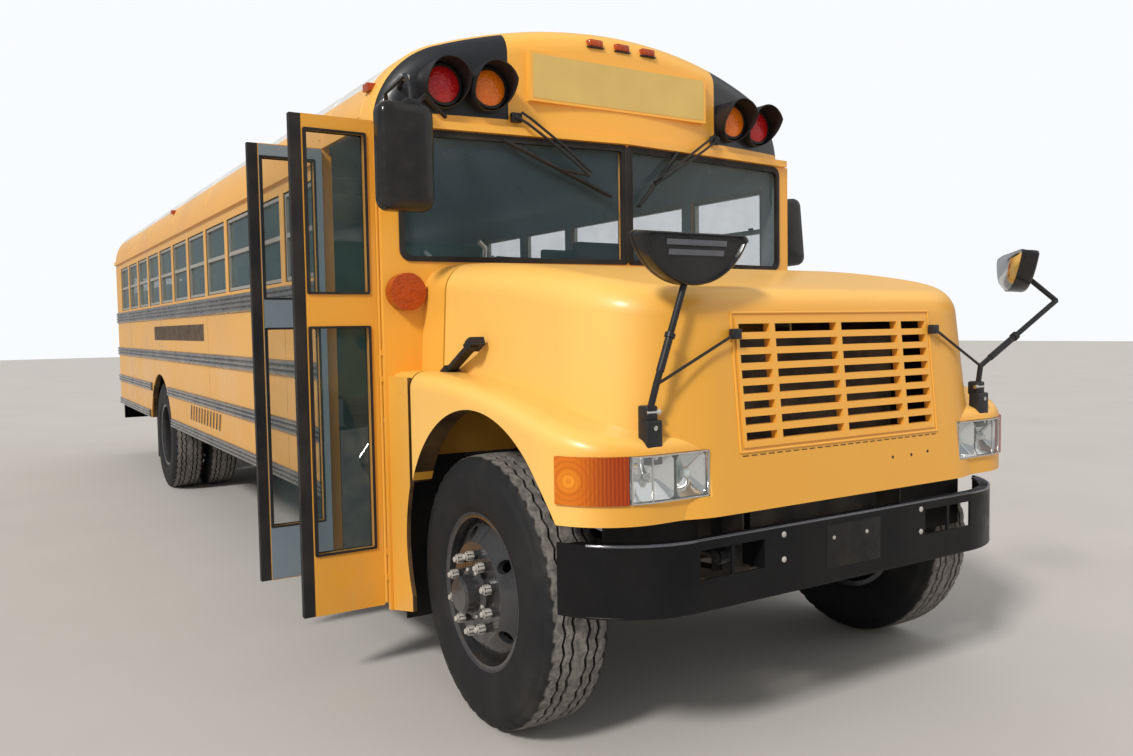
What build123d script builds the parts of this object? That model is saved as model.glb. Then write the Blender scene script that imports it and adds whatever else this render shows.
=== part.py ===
from build123d import *
from functools import cache
from math import atan2, cos, pi, radians, sin, sqrt
import os

# A conventional school bus with a tilting hood, built in millimetres.
# Stations (x) are measured forward from the front axle, y to the bus's left, z up from the road.
# At the end every piece is moved so that the origin lies on the road, on the centreline, midway
# between the two bumpers.

# Overall length and ride
wheelbase = 6720
bumper_front = 805
bumper_rear = -9920
front_axle_from_middle = -(bumper_front + bumper_rear) / 2

# Tyres and wheels
tyre_radius = 520
tyre_width = 275
tread_width = 216
tyre_bore = 290
tyre_sides = 40
bead_gap = 0.3
bead_inset = 4
rim_width = 230
front_wheel_y = 1010
dual_outer_y = 1056
dual_inner_y = 738
nut_circle = 285.75
nut_count = 10
hub_bore = 36
spindle_gap = 0.3
king_pin_y = 865
king_pin_radius = 20
tie_x = 200
tie_z = 410
tie_pin = 11
rear_arch_z = 505
rear_arch_radius = 615

# Body shell
body_half = 1219
wall = 50
skirt_z = 650
wall_top = 2400
roof_top = 2945
roof_corner = 420
roof_skin = 40
drip_reach = 22
cap_skin = 38
cap_bow = 5200
cap_bow_x = -5800
body_rear = -9790
rear_wall_front = -9730
cap_rear = -960
front_centre = -572
front_corner = -700
front_wall_depth = 40
door_post = 28
front_clear = 900

# Floor and frame
floor_z = 1010
floor_depth = 50
rail_top = 909
rail_depth = 254
rail_half = 432
rail_flange = 76
rail_web = 9
rail_front = 690
rail_rear = -9700
spring_width = 76

# Windows
window_pitch = 711
window_count = 11
first_pillar = -1528
pillar_width = 84
window_low = 1800
window_high = 2300
sash_depth = 30
sash_bar = 26
pane = 5

# Windshield
shield_low = 1832
shield_high = 2392
shield_half = 1128
divider_half = 22

# Sign over the windshield
sign_half = 524
sign_low = 2560
sign_high = 2788

# Warning lamps
lamp_radius = 86
lamp_hood_radius = 103
lamp_hood_wall = 5

# Entrance door and its steps
step_inner = -620
door_sill = 305
door_head = 2422
head_gap = 8
hinge_gap = 6
meeting_gap = 12
jamb_front = front_corner - door_post
jamb_rear = -1484
leaf_depth = 40
seal_width = 48
knuckle_length = 90
leaf_hinge_heights = (door_sill + 180, (door_sill + door_head) / 2, door_head - 180)
leaf_width = (jamb_front - jamb_rear - 2 * hinge_gap - meeting_gap) / 2
hinge_y = -body_half - 6

# Front bumper
bumper_low = 569
bumper_high = 812
bumper_half = 1160
bumper_round = 430
bumper_end = 548
flange_end = 580
bumper_web = 9
bumper_flange = 40

# Hood
hood_rear = -475
cowl_gap = 12
hood_skin = 18
hood_low = 880
hood_edge_round = 125
nose_round = 400
fender_front_half = 1165
fender_round = 300
fender_lip_inner = 1110
arch_x = 55
arch_z = 630
arch_radius = 590
hood_pivot_x = 660
hood_pivot_z = 700

# Emergency door in the rear wall
exit_half = 330
exit_low = 985
exit_high = 2240
exit_depth = 45
exit_gap = 8
exit_hinge_x = body_rear - 12
exit_hinge_heights = (exit_low + 120, (exit_low + exit_high) / 2, exit_high - 120)

# Holes for number plates, as half spacings
plate_hole = 3.5
plate_hole_y = 89
plate_hole_z = 60.5
rear_plate_y = 620
rear_plate_z = 1120

# Mirrors
left_mirror_place = (-857, 1380, 2057)
left_mirror_lean = 6
mirror_arm = 11
post_radius = 12
brace_radius = 7

# Seats
seat_pitch = 711
seat_rows = 10
first_seat = -2330
aisle_half = 190
seat_height = 400
seat_back_top = 1010
right_barrier = -1710
left_barrier = -1790
driver_x = -1560
driver_y = 580

os.makedirs("parts", exist_ok=True)
to_origin = Pos(front_axle_from_middle, 0, 0)


def save(name, *pieces):
    """Write the pieces of one node, moved to the origin."""
    solids = []
    for piece in pieces:
        solids.extend((to_origin * piece).solids())
    export_step(Compound(children=solids), f"parts/{name}.step")


def block(x, y, z):
    """A box between two stations, two widths and two heights."""
    middle = Pos((x[0] + x[1]) / 2, (y[0] + y[1]) / 2, (z[0] + z[1]) / 2)
    return middle * Box(abs(x[1] - x[0]), abs(y[1] - y[0]), abs(z[1] - z[0]))


def on_left(piece):
    """The same piece on the other side of the bus."""
    return mirror(piece, Plane.XZ)


def rod(start, end, radius):
    """A round bar between two points."""
    along = Vector(*end) - Vector(*start)
    return extrude(Plane(origin=start, z_dir=along) * Circle(radius), amount=along.length)


def across(x, z, y, radius):
    """A cylinder that lies across the bus between two widths."""
    return rod((x, y[0], z), (x, y[1], z), radius)


def side_profile(points, y):
    """A polygon of (x, z) points, extruded between two widths."""
    face = Plane.XZ * make_face(Polyline(*points, close=True))
    return Pos(0, max(y), 0) * extrude(face, amount=abs(y[1] - y[0]))


def cross_profile(face, x):
    """A face of (y, z) coordinates, extruded between two stations."""
    return Pos(min(x), 0, 0) * extrude(Plane.YZ * face, amount=abs(x[1] - x[0]))


def turned(profile, y, x=0, z=tyre_radius):
    """A profile of (radius, y) points, turned about an axis that lies across the bus."""
    face = Plane.XZ * make_face(Polyline(*profile, close=True))
    return Pos(x, y, z) * Rot(X=-90) * revolve(face, Axis.Z)


# Roof section: a crown arc and two corner arcs that meet it and the walls without a kink
corner_y = body_half - roof_corner
rise = roof_top - wall_top
crown_radius = (corner_y**2 + rise**2 - roof_corner**2) / (2 * (rise - roof_corner))
crown_z = roof_top - crown_radius
lean = atan2(corner_y, wall_top - crown_z)


def roof_face(inset, low):
    """The body's section above a height, inside the outer skin by an inset."""
    half = body_half - inset
    corner = roof_corner - inset
    crown = crown_radius - inset
    turn = (pi / 2 + lean) / 2
    meet = (corner_y + corner * sin(lean), wall_top + corner * cos(lean))
    bend = (corner_y + corner * sin(turn), wall_top + corner * cos(turn))
    top = (0, crown_z + crown)
    edges = [
        ThreePointArc((-half, wall_top), (-bend[0], bend[1]), (-meet[0], meet[1])),
        ThreePointArc((-meet[0], meet[1]), top, meet),
        ThreePointArc(meet, bend, (half, wall_top)),
        Line((half, low), (-half, low)),
    ]
    if low < wall_top:
        edges.append(Line((-half, low), (-half, wall_top)))
        edges.append(Line((half, wall_top), (half, low)))
    return make_face(edges)


# Nose of the bus: one outer form for hood and cowl, split at the seam between them


def nose_plan(rear_half, front_half, front_x, corner, inset):
    """A plan outline with two rounded front corners, as a face in the road's plane."""
    rear_x = front_corner - 60
    outline = Polyline(
        (rear_x, -rear_half + inset),
        (front_x - inset, -front_half + inset),
        (front_x - inset, front_half - inset),
        (rear_x, rear_half - inset),
        close=True,
    )
    face = make_face(outline)
    corners = face.vertices().sort_by(Axis.X)[-2:]
    return fillet(corners, radius=corner - inset)


def top_cutter(rear, middle, front, inset):
    """What lies under a curved top line given by three (x, z) points."""
    ends = [(rear[0], rear[1] - inset), (middle[0], middle[1] - inset), (front[0], front[1] - inset)]
    outline = [
        ThreePointArc(*ends),
        Line(ends[2], (ends[2][0], 0)),
        Line((ends[2][0], 0), (ends[0][0], 0)),
        Line((ends[0][0], 0), ends[0]),
    ]
    return extrude(Plane.XZ * make_face(outline), amount=2 * body_half, both=True)


def round_top(form, radius):
    """Round the edges of a form that lie on its curved top."""
    top_face = form.faces().sort_by(Axis.Z)[-1]
    edges = [edge for edge in top_face.edges() if edge.center().X > front_corner - 50]
    return fillet(edges, radius=radius)


@cache
def hood_form(inset):
    """The middle of the nose, from the cowl to the leaning grille face."""
    low = Plane.XY.offset(hood_low - 300) * nose_plan(1096, 1010, 838, nose_round, inset)
    high = Plane.XY.offset(1900) * nose_plan(1028, 950, 704, nose_round, inset)
    form = loft([low.face(), high.face()], ruled=True)
    form = form & top_cutter((-800, 1798), (130, 1748), (900, 1585), inset)
    return round_top(form, hood_edge_round - inset)


def fender_plan(inset):
    """The fenders' outline seen from above."""
    return nose_plan(1205, fender_front_half, 778, fender_round, inset)


@cache
def fender_form(inset):
    """The fenders' form, which runs round the nose below the hood's sides."""
    form = extrude(fender_plan(inset), amount=1500)
    form = form & top_cutter((-800, 1330), (60, 1310), (900, 1092), inset)
    return round_top(form, 70 - inset)


def nose_shell():
    """Hood, fenders and cowl as one shell, open below and at the rear."""
    outer = hood_form(0) + fender_form(0)
    inner = hood_form(hood_skin) + fender_form(hood_skin)
    shell = outer - inner
    shell -= block((-900, 900), (-1300, 1300), (0, hood_low))
    shell -= across(arch_x, arch_z, (-1300, 1300), arch_radius)
    lip = across(arch_x, arch_z, (-1200, 1200), arch_radius + 16)
    lip -= across(arch_x, arch_z, (-1300, 1300), arch_radius)
    lip -= block((-900, 900), (-fender_lip_inner, fender_lip_inner), (0, 1400))
    lip = lip & block((-900, 900), (-1300, 1300), (hood_low, 1400)) & fender_form(2)
    return shell + lip


# Grille and lamps share these places with the openings in the hood
grille_low = 1098
grille_high = 1545
grille_half = 512
grille_rows = 8
grille_bars = 34
grille_columns = (-512, -340, 0, 340, 512)
lamp_low = 950
lamp_high = 1106
lamp_inner = 664
lamp_split = 982
lamp_outer = 1186
lamp_rear = 596


def hood_face_x(z):
    """Where the leaning front face of the hood stands at a height."""
    low_z = hood_low - 300
    return 838 + (704 - 838) * (z - low_z) / (1900 - low_z)


def grille_space(grow, depth):
    """A leaning slab in the grille's opening, larger by a margin all round."""
    low = grille_low - grow
    high = grille_high + grow
    points = [
        (hood_face_x(low) + depth[1], low),
        (hood_face_x(high) + depth[1], high),
        (hood_face_x(high) + depth[0], high),
        (hood_face_x(low) + depth[0], low),
    ]
    return side_profile(points, (-grille_half - grow, grille_half + grow))


def lamp_space(y, grow, depth):
    """A piece of the fender's front skin between two widths, at the lamps' height."""
    skin = extrude(fender_plan(-depth[1]), amount=1500) - extrude(fender_plan(-depth[0]), amount=1500)
    low, high = (lamp_low - grow, lamp_high + grow)
    return skin & block((lamp_rear, 900), (-y[1] - grow, -y[0] + grow), (low, high))


def hood_nodes(shell):
    """The hood and what tilts with it."""
    hood = shell & block((hood_rear, 1000), (-1300, 1300), (0, 2000))
    hood -= grille_space(0.3, (-80, 60))
    lamps = lamp_space((lamp_inner, lamp_outer), 0.3, (-120, 30))
    hood = hood - lamps - on_left(lamps)
    for side in (-1, 1):
        arm = across(hood_pivot_x, hood_pivot_z, (side * 496, side * 528), 30)
        y = side * 512
        route = [(0, 0), (-225, 20), (-170, 200), (126, 235)]
        bends = [(hood_pivot_x + x, y, hood_pivot_z + z) for x, z in route]
        for start, end in zip(bends[:-1], bends[1:]):
            arm += rod(start, end, 13)
        for bend in bends[1:3]:
            arm += Pos(*bend) * Sphere(13)
        arm -= across(hood_pivot_x, hood_pivot_z, (side * 480, side * 560), 12.3)
        hood += arm
    save("hood_shell", hood)

    grille = grille_space(0, (-26, 6))
    cell_high = (grille_high - grille_low - grille_bars * 0.62) / grille_rows
    for row in range(grille_rows):
        low = grille_low + 22 + row * cell_high
        for left, right in zip(grille_columns[:-1], grille_columns[1:]):
            grille -= block((600, 900), (left + 13, right - 13), (low, low + cell_high - 24))
    save("grille", grille)

    clear = lamp_space((lamp_inner, lamp_split - 4), 0, (-60, 8))
    amber = lamp_space((lamp_split, lamp_outer), 0, (-60, 8))
    save("headlamps", clear, on_left(clear))
    save("hood_turn_lamps", amber, on_left(amber))

    save("cross_view_mirrors", *[cross_view_mirror(*row) for row in mirror_table])
    bar = [(-400, 1322), (-380, 1356), (-120, 1484), (-106, 1458), (-368, 1308)]
    latch = side_profile(bar, (-1098, -1030))
    latch = latch - hood_form(-0.3) - fender_form(-0.3)
    save("hood_latches", latch, on_left(latch))


# Cross-view mirrors: side, elbow and neck of the post, middle of the head's flat edge, and its turn
mirror_table = [
    (-1, (768, -872, 1330), (766, -738, 1690), (812, -725, 1820), 0),
    (1, (752, 866, 1328), (800, 1341, 1602), (734, 1238, 1813), 43),
]
mirror_depth = 72


def cross_view_mirror(side, elbow, neck, middle, turn):
    """A wide mirror on a bent post that stands on the fender, with its brace."""
    edge = (-sin(radians(turn)), cos(radians(turn)), 0)
    ahead = (cos(radians(turn)), sin(radians(turn)), -0.1)
    rim = Plane(origin=middle, x_dir=edge, z_dir=ahead)
    outline = [ThreePointArc((-235, 0), (0, -176), (235, 0)), Line((235, 0), (-235, 0))]
    head = extrude(rim * make_face(outline), amount=-mirror_depth)
    half = mirror_depth / 2
    grip = (middle[0] - ahead[0] * half, middle[1] - ahead[1] * half, middle[2] - 75)
    foot = (725, side * 880, 1200)
    post = Pos(*elbow) * Sphere(post_radius) + Pos(*neck) * Sphere(post_radius)
    for start, end in ((foot, elbow), (elbow, neck), (neck, grip)):
        post += rod(start, end, post_radius)
    base = block((700, 750), (side * 905, side * 845), (1060, 1230))
    base = base - fender_form(-0.3) - hood_form(-0.3)
    pad = block((720, 780), (side * 545, side * 515), (1480, 1500)) - hood_form(-0.3)
    brace = rod(elbow, (772, side * 530, 1490), brace_radius)
    return head + post + base + brace + pad


def front_wall_plan(depth):
    """The plan of the front wall: two flat halves that meet in a shallow V."""
    return make_face(
        Polyline(
            (front_centre, 0),
            (front_corner, -body_half),
            (front_corner - depth, -body_half),
            (front_centre - depth, 0),
            (front_corner - depth, body_half),
            (front_corner, body_half),
            close=True,
        )
    )


def ahead_of_wall(back):
    """All that lies ahead of the front wall's face, moved back by a distance."""
    plan = Pos(front_clear - back, 0, 0) * front_wall_plan(front_clear)
    return extrude(plan, amount=3200)


def shield_opening(side, grow):
    """The opening for one flat pane of the windshield."""
    inner, outer = (divider_half - grow, shield_half + grow)
    y = (side * inner, side * outer)
    face = Plane.YZ * make_face(
        Polyline(
            (y[0], shield_low - grow),
            (y[1], shield_low - grow),
            (y[1], shield_high - 20),
            (y[0], shield_high + grow),
            close=True,
        )
    )
    return Pos(-900, 0, 0) * extrude(face, amount=500)


@cache
def door_knuckles(hinge_x, plate_x):
    """The jamb's hinge knuckles, above and below each knuckle of a leaf."""
    knuckles = None
    for z in leaf_hinge_heights:
        for step in (-1, 1):
            middle = z + step * (knuckle_length / 2 + 0.3 + 12)
            knuckle = Pos(hinge_x, hinge_y, middle) * Cylinder(5, 24)
            knuckle += block((hinge_x, plate_x), (hinge_y - 4, -body_half), (middle - 12, middle + 12))
            knuckles = knuckle if knuckles is None else knuckles + knuckle
    return knuckles


def door_space():
    """What the entrance doorway takes out of the walls and the roof's edge."""
    return block((jamb_rear, jamb_front), (-body_half - 30, -1120), (0, door_head + head_gap))


def front_wall_node(shell):
    """The cowl, the wall round the windshield and the two front posts."""
    plan = front_wall_plan(front_wall_depth)
    upper = Pos(0, 0, floor_z - floor_depth) * extrude(plan, amount=wall_top - floor_z + floor_depth)
    for side in (-1, 1):
        upper -= shield_opening(side, 0)
    cowl = shell & block((-730, hood_rear - cowl_gap), (-1300, 1300), (0, 2000))
    behind = Pos(0, 0, 100) * extrude(front_wall_plan(400), amount=2500)
    cowl -= behind
    node = upper + cowl
    inner = body_half - wall
    right_post = block((jamb_front, front_corner), (-body_half, -inner), (door_sill - 20, wall_top))
    left_post = block((front_corner - 60, front_corner), (inner, body_half), (skirt_z, wall_top))
    apron = [(front_corner, 1320), (-487, 1320), (-487, 330), (front_corner, door_sill - 20)]
    side_panel = side_profile(apron, (-1205, -1205 + hood_skin))
    side_panel -= across(arch_x, arch_z, (-1300, 1300), arch_radius)
    left_apron = [(front_corner, 1320), (-487, 1320), (-487, skirt_z), (front_corner, skirt_z)]
    left_panel = side_profile(left_apron, (1205, 1205 - hood_skin))
    left_panel -= across(arch_x, arch_z, (-1300, 1300), arch_radius)
    fill = block((front_corner - 20, front_corner), (-body_half + 4, -1180), (door_sill - 20, 1320))
    node = node + right_post + left_post + side_panel + left_panel + fill
    node = node - door_space() + door_knuckles(jamb_front - hinge_gap, jamb_front + 10)
    save("front_wall", node)


def window_rows(side):
    """The middle stations of the windows on one side; the driver has one more."""
    middles = [first_pillar - window_pitch * (i + 0.5) for i in range(window_count)]
    if side > 0:
        middles.append(first_pillar + window_pitch * 0.5)
    return middles


def window_space(middle, side, y, grow=0):
    """A window's opening in a side wall."""
    half = (window_pitch - pillar_width) / 2 + grow
    spread = (side * y[0], side * y[1])
    return block((middle - half, middle + half), spread, (window_low - grow, window_high + grow))


def side_wall(side):
    """One side of the body, with its windows and the rear wheel's arch."""
    inner = body_half - wall
    front = front_corner - 60 if side > 0 else jamb_rear
    node = block((rear_wall_front, front), (side * inner, side * body_half), (skirt_z, wall_top))
    if side < 0:
        node += block((jamb_rear - 40, jamb_rear), (-body_half, -inner), (door_sill - 20, skirt_z + 1))
        node += door_knuckles(jamb_rear + hinge_gap, jamb_rear - 10)
    for middle in window_rows(side):
        node -= window_space(middle, side, (inner - 20, body_half + 20))
    through = (side * (inner - 20), side * (body_half + 20))
    return node - across(-wheelbase, rear_arch_z, through, rear_arch_radius)


def body_nodes(shell):
    """The shell of the body: walls, roof, front cap and rear wall."""
    front_wall_node(shell)
    save("wall_right", side_wall(-1))
    save("wall_left", side_wall(1))
    roof = roof_form(0)
    roof -= cross_profile(roof_face(roof_skin, wall_top - 10), (rear_wall_front, cap_rear))
    for side, drip_end in ((-1, jamb_rear - 20), (1, cap_rear)):
        drip = (side * body_half, side * (body_half + drip_reach))
        roof += block((rear_wall_front, drip_end), drip, (wall_top - 32, wall_top + 8))
        ledge = (side * (body_half - roof_skin), side * body_half)
        roof += block((rear_wall_front, cap_rear), ledge, (wall_top, wall_top + 10))
    save("roof", roof - door_space())
    save("front_cap", front_cap() - door_space())
    save("rear_wall", rear_wall())
    save("rub_rails", *rub_rails())


@cache
def roof_form(inset):
    """The roof's outer form between the front cap and the rear wall."""
    return cross_profile(roof_face(inset, wall_top), (rear_wall_front, cap_rear))


@cache
def cap_form(inset):
    """The front cap's outer form: the roof section with a bowed and rounded front."""
    form = cross_profile(roof_face(inset, wall_top), (cap_rear, -400))
    bow = Pos(cap_bow_x, 0, 2000) * extrude(Circle(cap_bow - inset), amount=1500)
    form = form & bow
    front = form.faces().filter_by(GeomType.CYLINDER).sort_by(Axis.X)[-1]
    edges = [e for e in front.edges() if e.center().Z > wall_top + 30]
    return fillet(edges, radius=115 - inset)


def front_cap():
    """The cap over the windshield, with its lip and the raised frame for the sign."""
    cap = cap_form(0) - cap_form(cap_skin)
    ledge = Pos(22, 0, wall_top) * extrude(front_wall_plan(55), amount=34)
    cap += ledge & block((-900, 0), (-1190, 1190), (2000, 3000))
    sign = block((-640, -594), (-sign_half, sign_half), (sign_low, sign_high))
    return cap + sign


def rear_wall():
    """The rear wall up to the roof's crown, with the door opening and two windows."""
    face = roof_face(0, skirt_z)
    node = cross_profile(face, (body_rear, rear_wall_front))
    outer = node.faces().sort_by(Axis.X)[0]
    edges = [e for e in outer.edges() if e.center().Z > skirt_z + 10]
    node = fillet(edges, radius=45)
    through = (body_rear - 20, rear_wall_front + 20)
    gap_half = exit_half + exit_gap
    node -= block(through, (-gap_half, gap_half), (exit_low - exit_gap, exit_high + exit_gap))
    for side in (-1, 1):
        node -= rear_window(side, 0)
    for y in (-plate_hole_y, plate_hole_y):
        for z in (-plate_hole_z, plate_hole_z):
            start = (body_rear - 5, rear_plate_y + y, rear_plate_z + z)
            node -= rod(start, (body_rear + 25, start[1], start[2]), plate_hole)
    for z in exit_hinge_heights:
        for step in (-1, 1):
            middle = z + step * (55 + 0.3 + 15)
            height = (middle - 15, middle + 15)
            plate = (-exit_half - 40, -exit_half - exit_gap)
            node += Pos(exit_hinge_x, -exit_half, middle) * Cylinder(8, 30)
            node += block((exit_hinge_x, body_rear + 1), plate, height)
            node += block((exit_hinge_x - 5, exit_hinge_x + 5), (-exit_half - 40, -exit_half), height)
    return node


def rear_window(side, grow):
    """The opening of a window beside the emergency door."""
    y = (side * (430 - grow), side * (1060 + grow))
    return block((body_rear - 20, rear_wall_front + 20), y, (1790 - grow, 2230 + grow))


# Rub rails: low edge, high edge and number of ribs
rail_table = [
    (1654, 1780, 4),
    (1262, 1358, 3),
    (936, 1018, 3),
    (652, 730, 3),
]


def rub_rail(side, x, low, high, ribs):
    """A ribbed rail along a side of the body."""
    base = 6
    crest = 18
    step = (high - low) / ribs
    points = [(body_half, low)]
    for i in range(ribs):
        z = low + i * step
        points += [
            (body_half + base, z),
            (body_half + crest, z + step * 0.3),
            (body_half + crest, z + step * 0.7),
            (body_half + base, z + step * 0.999),
        ]
    points += [(body_half, high)]
    face = make_face(Polyline(*[(side * y, z) for y, z in points], close=True))
    return cross_profile(face, x)


def rub_rails():
    """All rub rails, cut back where the rear wheels' arches are."""
    rails = []
    for side in (-1, 1):
        front = jamb_rear - 20 if side < 0 else front_corner - 70
        for low, high, ribs in rail_table:
            spans = [(body_rear + 50, front)]
            if low < rear_arch_z + rear_arch_radius:
                reach = 40 + sqrt(max(rear_arch_radius**2 - (low - rear_arch_z) ** 2, 0))
                spans = [(body_rear + 50, -wheelbase - reach), (-wheelbase + reach, front)]
            for span in spans:
                rails.append(rub_rail(side, span, low, high, ribs))
    return rails


def glass_nodes():
    """Sashes, panes and the windshield."""
    sashes = []
    panes = []
    outer = body_half - 8
    inner = outer - sash_depth
    for side in (-1, 1):
        for middle in window_rows(side):
            half = (window_pitch - pillar_width) / 2
            split = window_low + (window_high - window_low) * 0.52
            frame = window_space(middle, side, (inner, outer))
            lower = (window_low + sash_bar, split - sash_bar / 2)
            upper = (split + sash_bar / 2, window_high - sash_bar)
            for low, high in (lower, upper):
                x = (middle - half + sash_bar, middle + half - sash_bar)
                frame -= block(x, (side * (inner - 5), side * (outer + 5)), (low, high))
                panes.append(block(x, (side * (inner + 12), side * (inner + 12 + pane)), (low, high)))
            sashes.append(frame)
    for side in (-1, 1):
        opening = rear_window(side, 0)
        panes.append(opening & block((body_rear + 22, body_rear + 22 + pane), (-1300, 1300), (0, 3000)))
    save("window_sashes", *sashes)
    save("side_glass", *panes)
    shield = []
    sheet = Pos(-16, 0, 1000) * extrude(front_wall_plan(8), amount=1800)
    for side in (-1, 1):
        shield.append(shield_opening(side, 0) & sheet)
    save("windshield", *shield)


def door_leaf(hinge_x):
    """An open entrance leaf: frame with two windows, its panes and its rubber edge.

    The leaf is drawn as it hangs closed, with its hinge at the origin and its free
    edge along +x, and is then turned outwards about the hinge.
    """
    steel = leaf_width - seal_width
    frame = block((8, steel), (0, leaf_depth), (door_sill, door_head))
    openings = [(door_sill + 262, 1535), (1680, door_head - 62)]
    panes = []
    for low, high in openings:
        hole = block((46, steel - 14), (-10, leaf_depth + 10), (low, high))
        frame -= hole
        panes.append(hole & block((0, steel), (16, 16 + pane), (low, high)))
    for z in leaf_hinge_heights:
        half = knuckle_length / 2
        frame += Pos(0, 0, z) * Cylinder(5, knuckle_length) + block((0, 12), (0, 4), (z - half, z + half))
    edge = block((steel, leaf_width), (4, leaf_depth - 4), (door_sill, door_head))
    place = Pos(hinge_x, hinge_y, 0) * Rot(Z=-90)
    return [place * frame], [place * p for p in panes], [place * edge]


def door_nodes():
    """Both leaves of the entrance door, standing open."""
    front = door_leaf(jamb_front - hinge_gap)
    rear = door_leaf(jamb_rear + hinge_gap)
    names = ("leaf", "glass", "seal")
    for name, pieces in zip(names, front):
        shifted = [mirror_leaf(p, jamb_front - hinge_gap) for p in pieces]
        save(f"door_front_{name}", *shifted)
    for name, pieces in zip(names, rear):
        save(f"door_rear_{name}", *pieces)


def mirror_leaf(piece, x):
    """The same leaf for the other jamb."""
    return mirror(piece, Plane(origin=(x, 0, 0), z_dir=(1, 0, 0)))


def exit_nodes():
    """The emergency door in the rear wall, closed."""
    x = (body_rear - 4, body_rear - 4 + exit_depth)
    door = block(x, (-exit_half, exit_half), (exit_low, exit_high))
    panes = []
    for low, high in ((1110, 1500), (1790, 2180)):
        hole = block((x[0] - 10, x[1] + 10), (-250, 250), (low, high))
        door -= hole
        panes.append(hole & block((x[0] + 15, x[0] + 15 + pane), (-400, 400), (low, high)))
    for z in exit_hinge_heights:
        door += Pos(exit_hinge_x, -exit_half, z) * Cylinder(8, 110)
        door += block((exit_hinge_x, x[0] + 4), (-exit_half - 8, -exit_half + 60), (z - 55, z + 55))
    door += rod((x[0] - 40, 240, 1560), (x[0] - 40, 240, 1740), 10)
    for z in (1570, 1730):
        door += rod((x[0] - 40, 240, z), (x[0] + 5, 240, z), 9)
    save("emergency_door", door)
    save("emergency_glass", *panes)


def lamp_nodes():
    """Warning, turn, marker and tail lamps by colour, and the hoods over the warning lamps."""
    amber = []
    red = []
    hoods = []
    seat = cap_form(-0.3)
    for side in (-1, 1):
        for y, z, lamps in ((726, 2594, amber), (936, 2592, red)):
            face_x = cap_face_x(y)
            lamps.append(rod((face_x - 90, side * y, z), (face_x + 34, side * y, z), lamp_radius) - seat)
            hood = rod((face_x - 90, side * y, z), (face_x + 138, side * y, z), lamp_hood_radius)
            hollow = lamp_hood_radius - lamp_hood_wall
            hood -= rod((face_x - 91, side * y, z), (face_x + 139, side * y, z), hollow)
            slope = [(face_x + 30, z - 110), (face_x + 143, z + 40), (face_x + 200, z - 110)]
            hood -= side_profile(slope, (side * (y - 130), side * (y + 130)))
            hoods.append(hood - seat)
        rear_x = body_rear
        for y, z, lamps in ((560, 2560, amber), (780, 2540, red)):
            lamps.append(rod((rear_x, side * y, z), (rear_x - 34, side * y, z), lamp_radius))
        turn = rod((-760, side * 1126, 1684), (-635, side * 1126, 1684), 82) & ahead_of_wall(0)
        amber.append(turn)
        amber.append(rod((rear_x, side * 1010, 1420), (rear_x - 30, side * 1010, 1420), 88))
        red.append(rod((rear_x, side * 800, 1420), (rear_x - 30, side * 800, 1420), 88))
        red.append(rod((rear_x, side * 800, 880), (rear_x - 24, side * 800, 880), 52))
        amber.append(block((-940, -880), (side * 1110, side * 1196), (2590, 2622)) - seat)
        amber.append(block((-5905, -5845), (side * 1110, side * 1196), (2590, 2622)) - roof_form(-0.3))
    for y in (-156, 0, 156):
        amber.append(Pos(-650, y, 2868) * Box(110, 80, 30) - seat)
        red.append(block((body_rear, body_rear - 22), (y - 40, y + 40), (2800, 2830)))
    save("amber_lamps", *amber)
    save("red_lamps", *red)
    save("lamp_hoods", *hoods)


def cap_face_x(y):
    """Where the bowed face of the front cap stands at a width."""
    return cap_bow_x + sqrt(cap_bow**2 - y**2)


def fittings():
    """Wipers, outside mirrors and the stop arm."""
    wipers = []
    seat = cap_form(-0.3)
    for side in (-1, 1):
        y, z = (side * 590, 2475)
        knee = (-560, side * 320, 2290)
        tip = (-556, side * 90, 2110)
        arm = rod((-700, y, z), (-585, y, z), 18) - seat
        arm += rod((-592, y, z), knee, 7) + Pos(*knee) * Sphere(9) + rod(knee, tip, 6)
        wipers.append(arm)
    save("wipers", *wipers)

    right = block((-470, -390), (-1330, -1090), (2000, 2440))
    right = fillet(right.edges().filter_by(Axis.X), radius=45)
    right += rod((-430, -1180, 2380), (-760, -1150, 2350), mirror_arm) & ahead_of_wall(0)
    right += rod((-430, -1180, 2425), (-800, -1120, 2500), mirror_arm) - seat
    x, y, z = left_mirror_place
    left = Box(80, 210, 400)
    left = fillet(left.edges().filter_by(Axis.X), radius=45)
    left = Pos(x, y, z) * Rot(X=left_mirror_lean) * left
    for arm_z in (z - 125, z + 115):
        left += rod((x, y - 40, arm_z), (x, body_half, arm_z), mirror_arm)
    save("outside_mirrors", right, left)

    x, z, radius = (-1900, 1480, 225)
    octagon = Plane.XZ * RegularPolygon(radius, 8, major_radius=False, rotation=22.5)
    plate = Pos(x - 240, body_half + 52, z) * extrude(octagon, amount=6, both=True)
    arm = block((x - 300, x), (body_half + 40, body_half + 64), (z - 30, z + 30))
    arm += Pos(x + 8, body_half + 52, z) * Cylinder(10, 163.4)
    save("stop_arm", plate + arm)
    bracket = block((x - 20, x + 36), (body_half, body_half + 12), (z - 110, z + 110))
    for end in (-96, 96):
        ear = block((x - 8, x + 24), (body_half, body_half + 68), (z + end - 14, z + end + 14))
        bracket += ear
    save("stop_arm_bracket", bracket)


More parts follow.
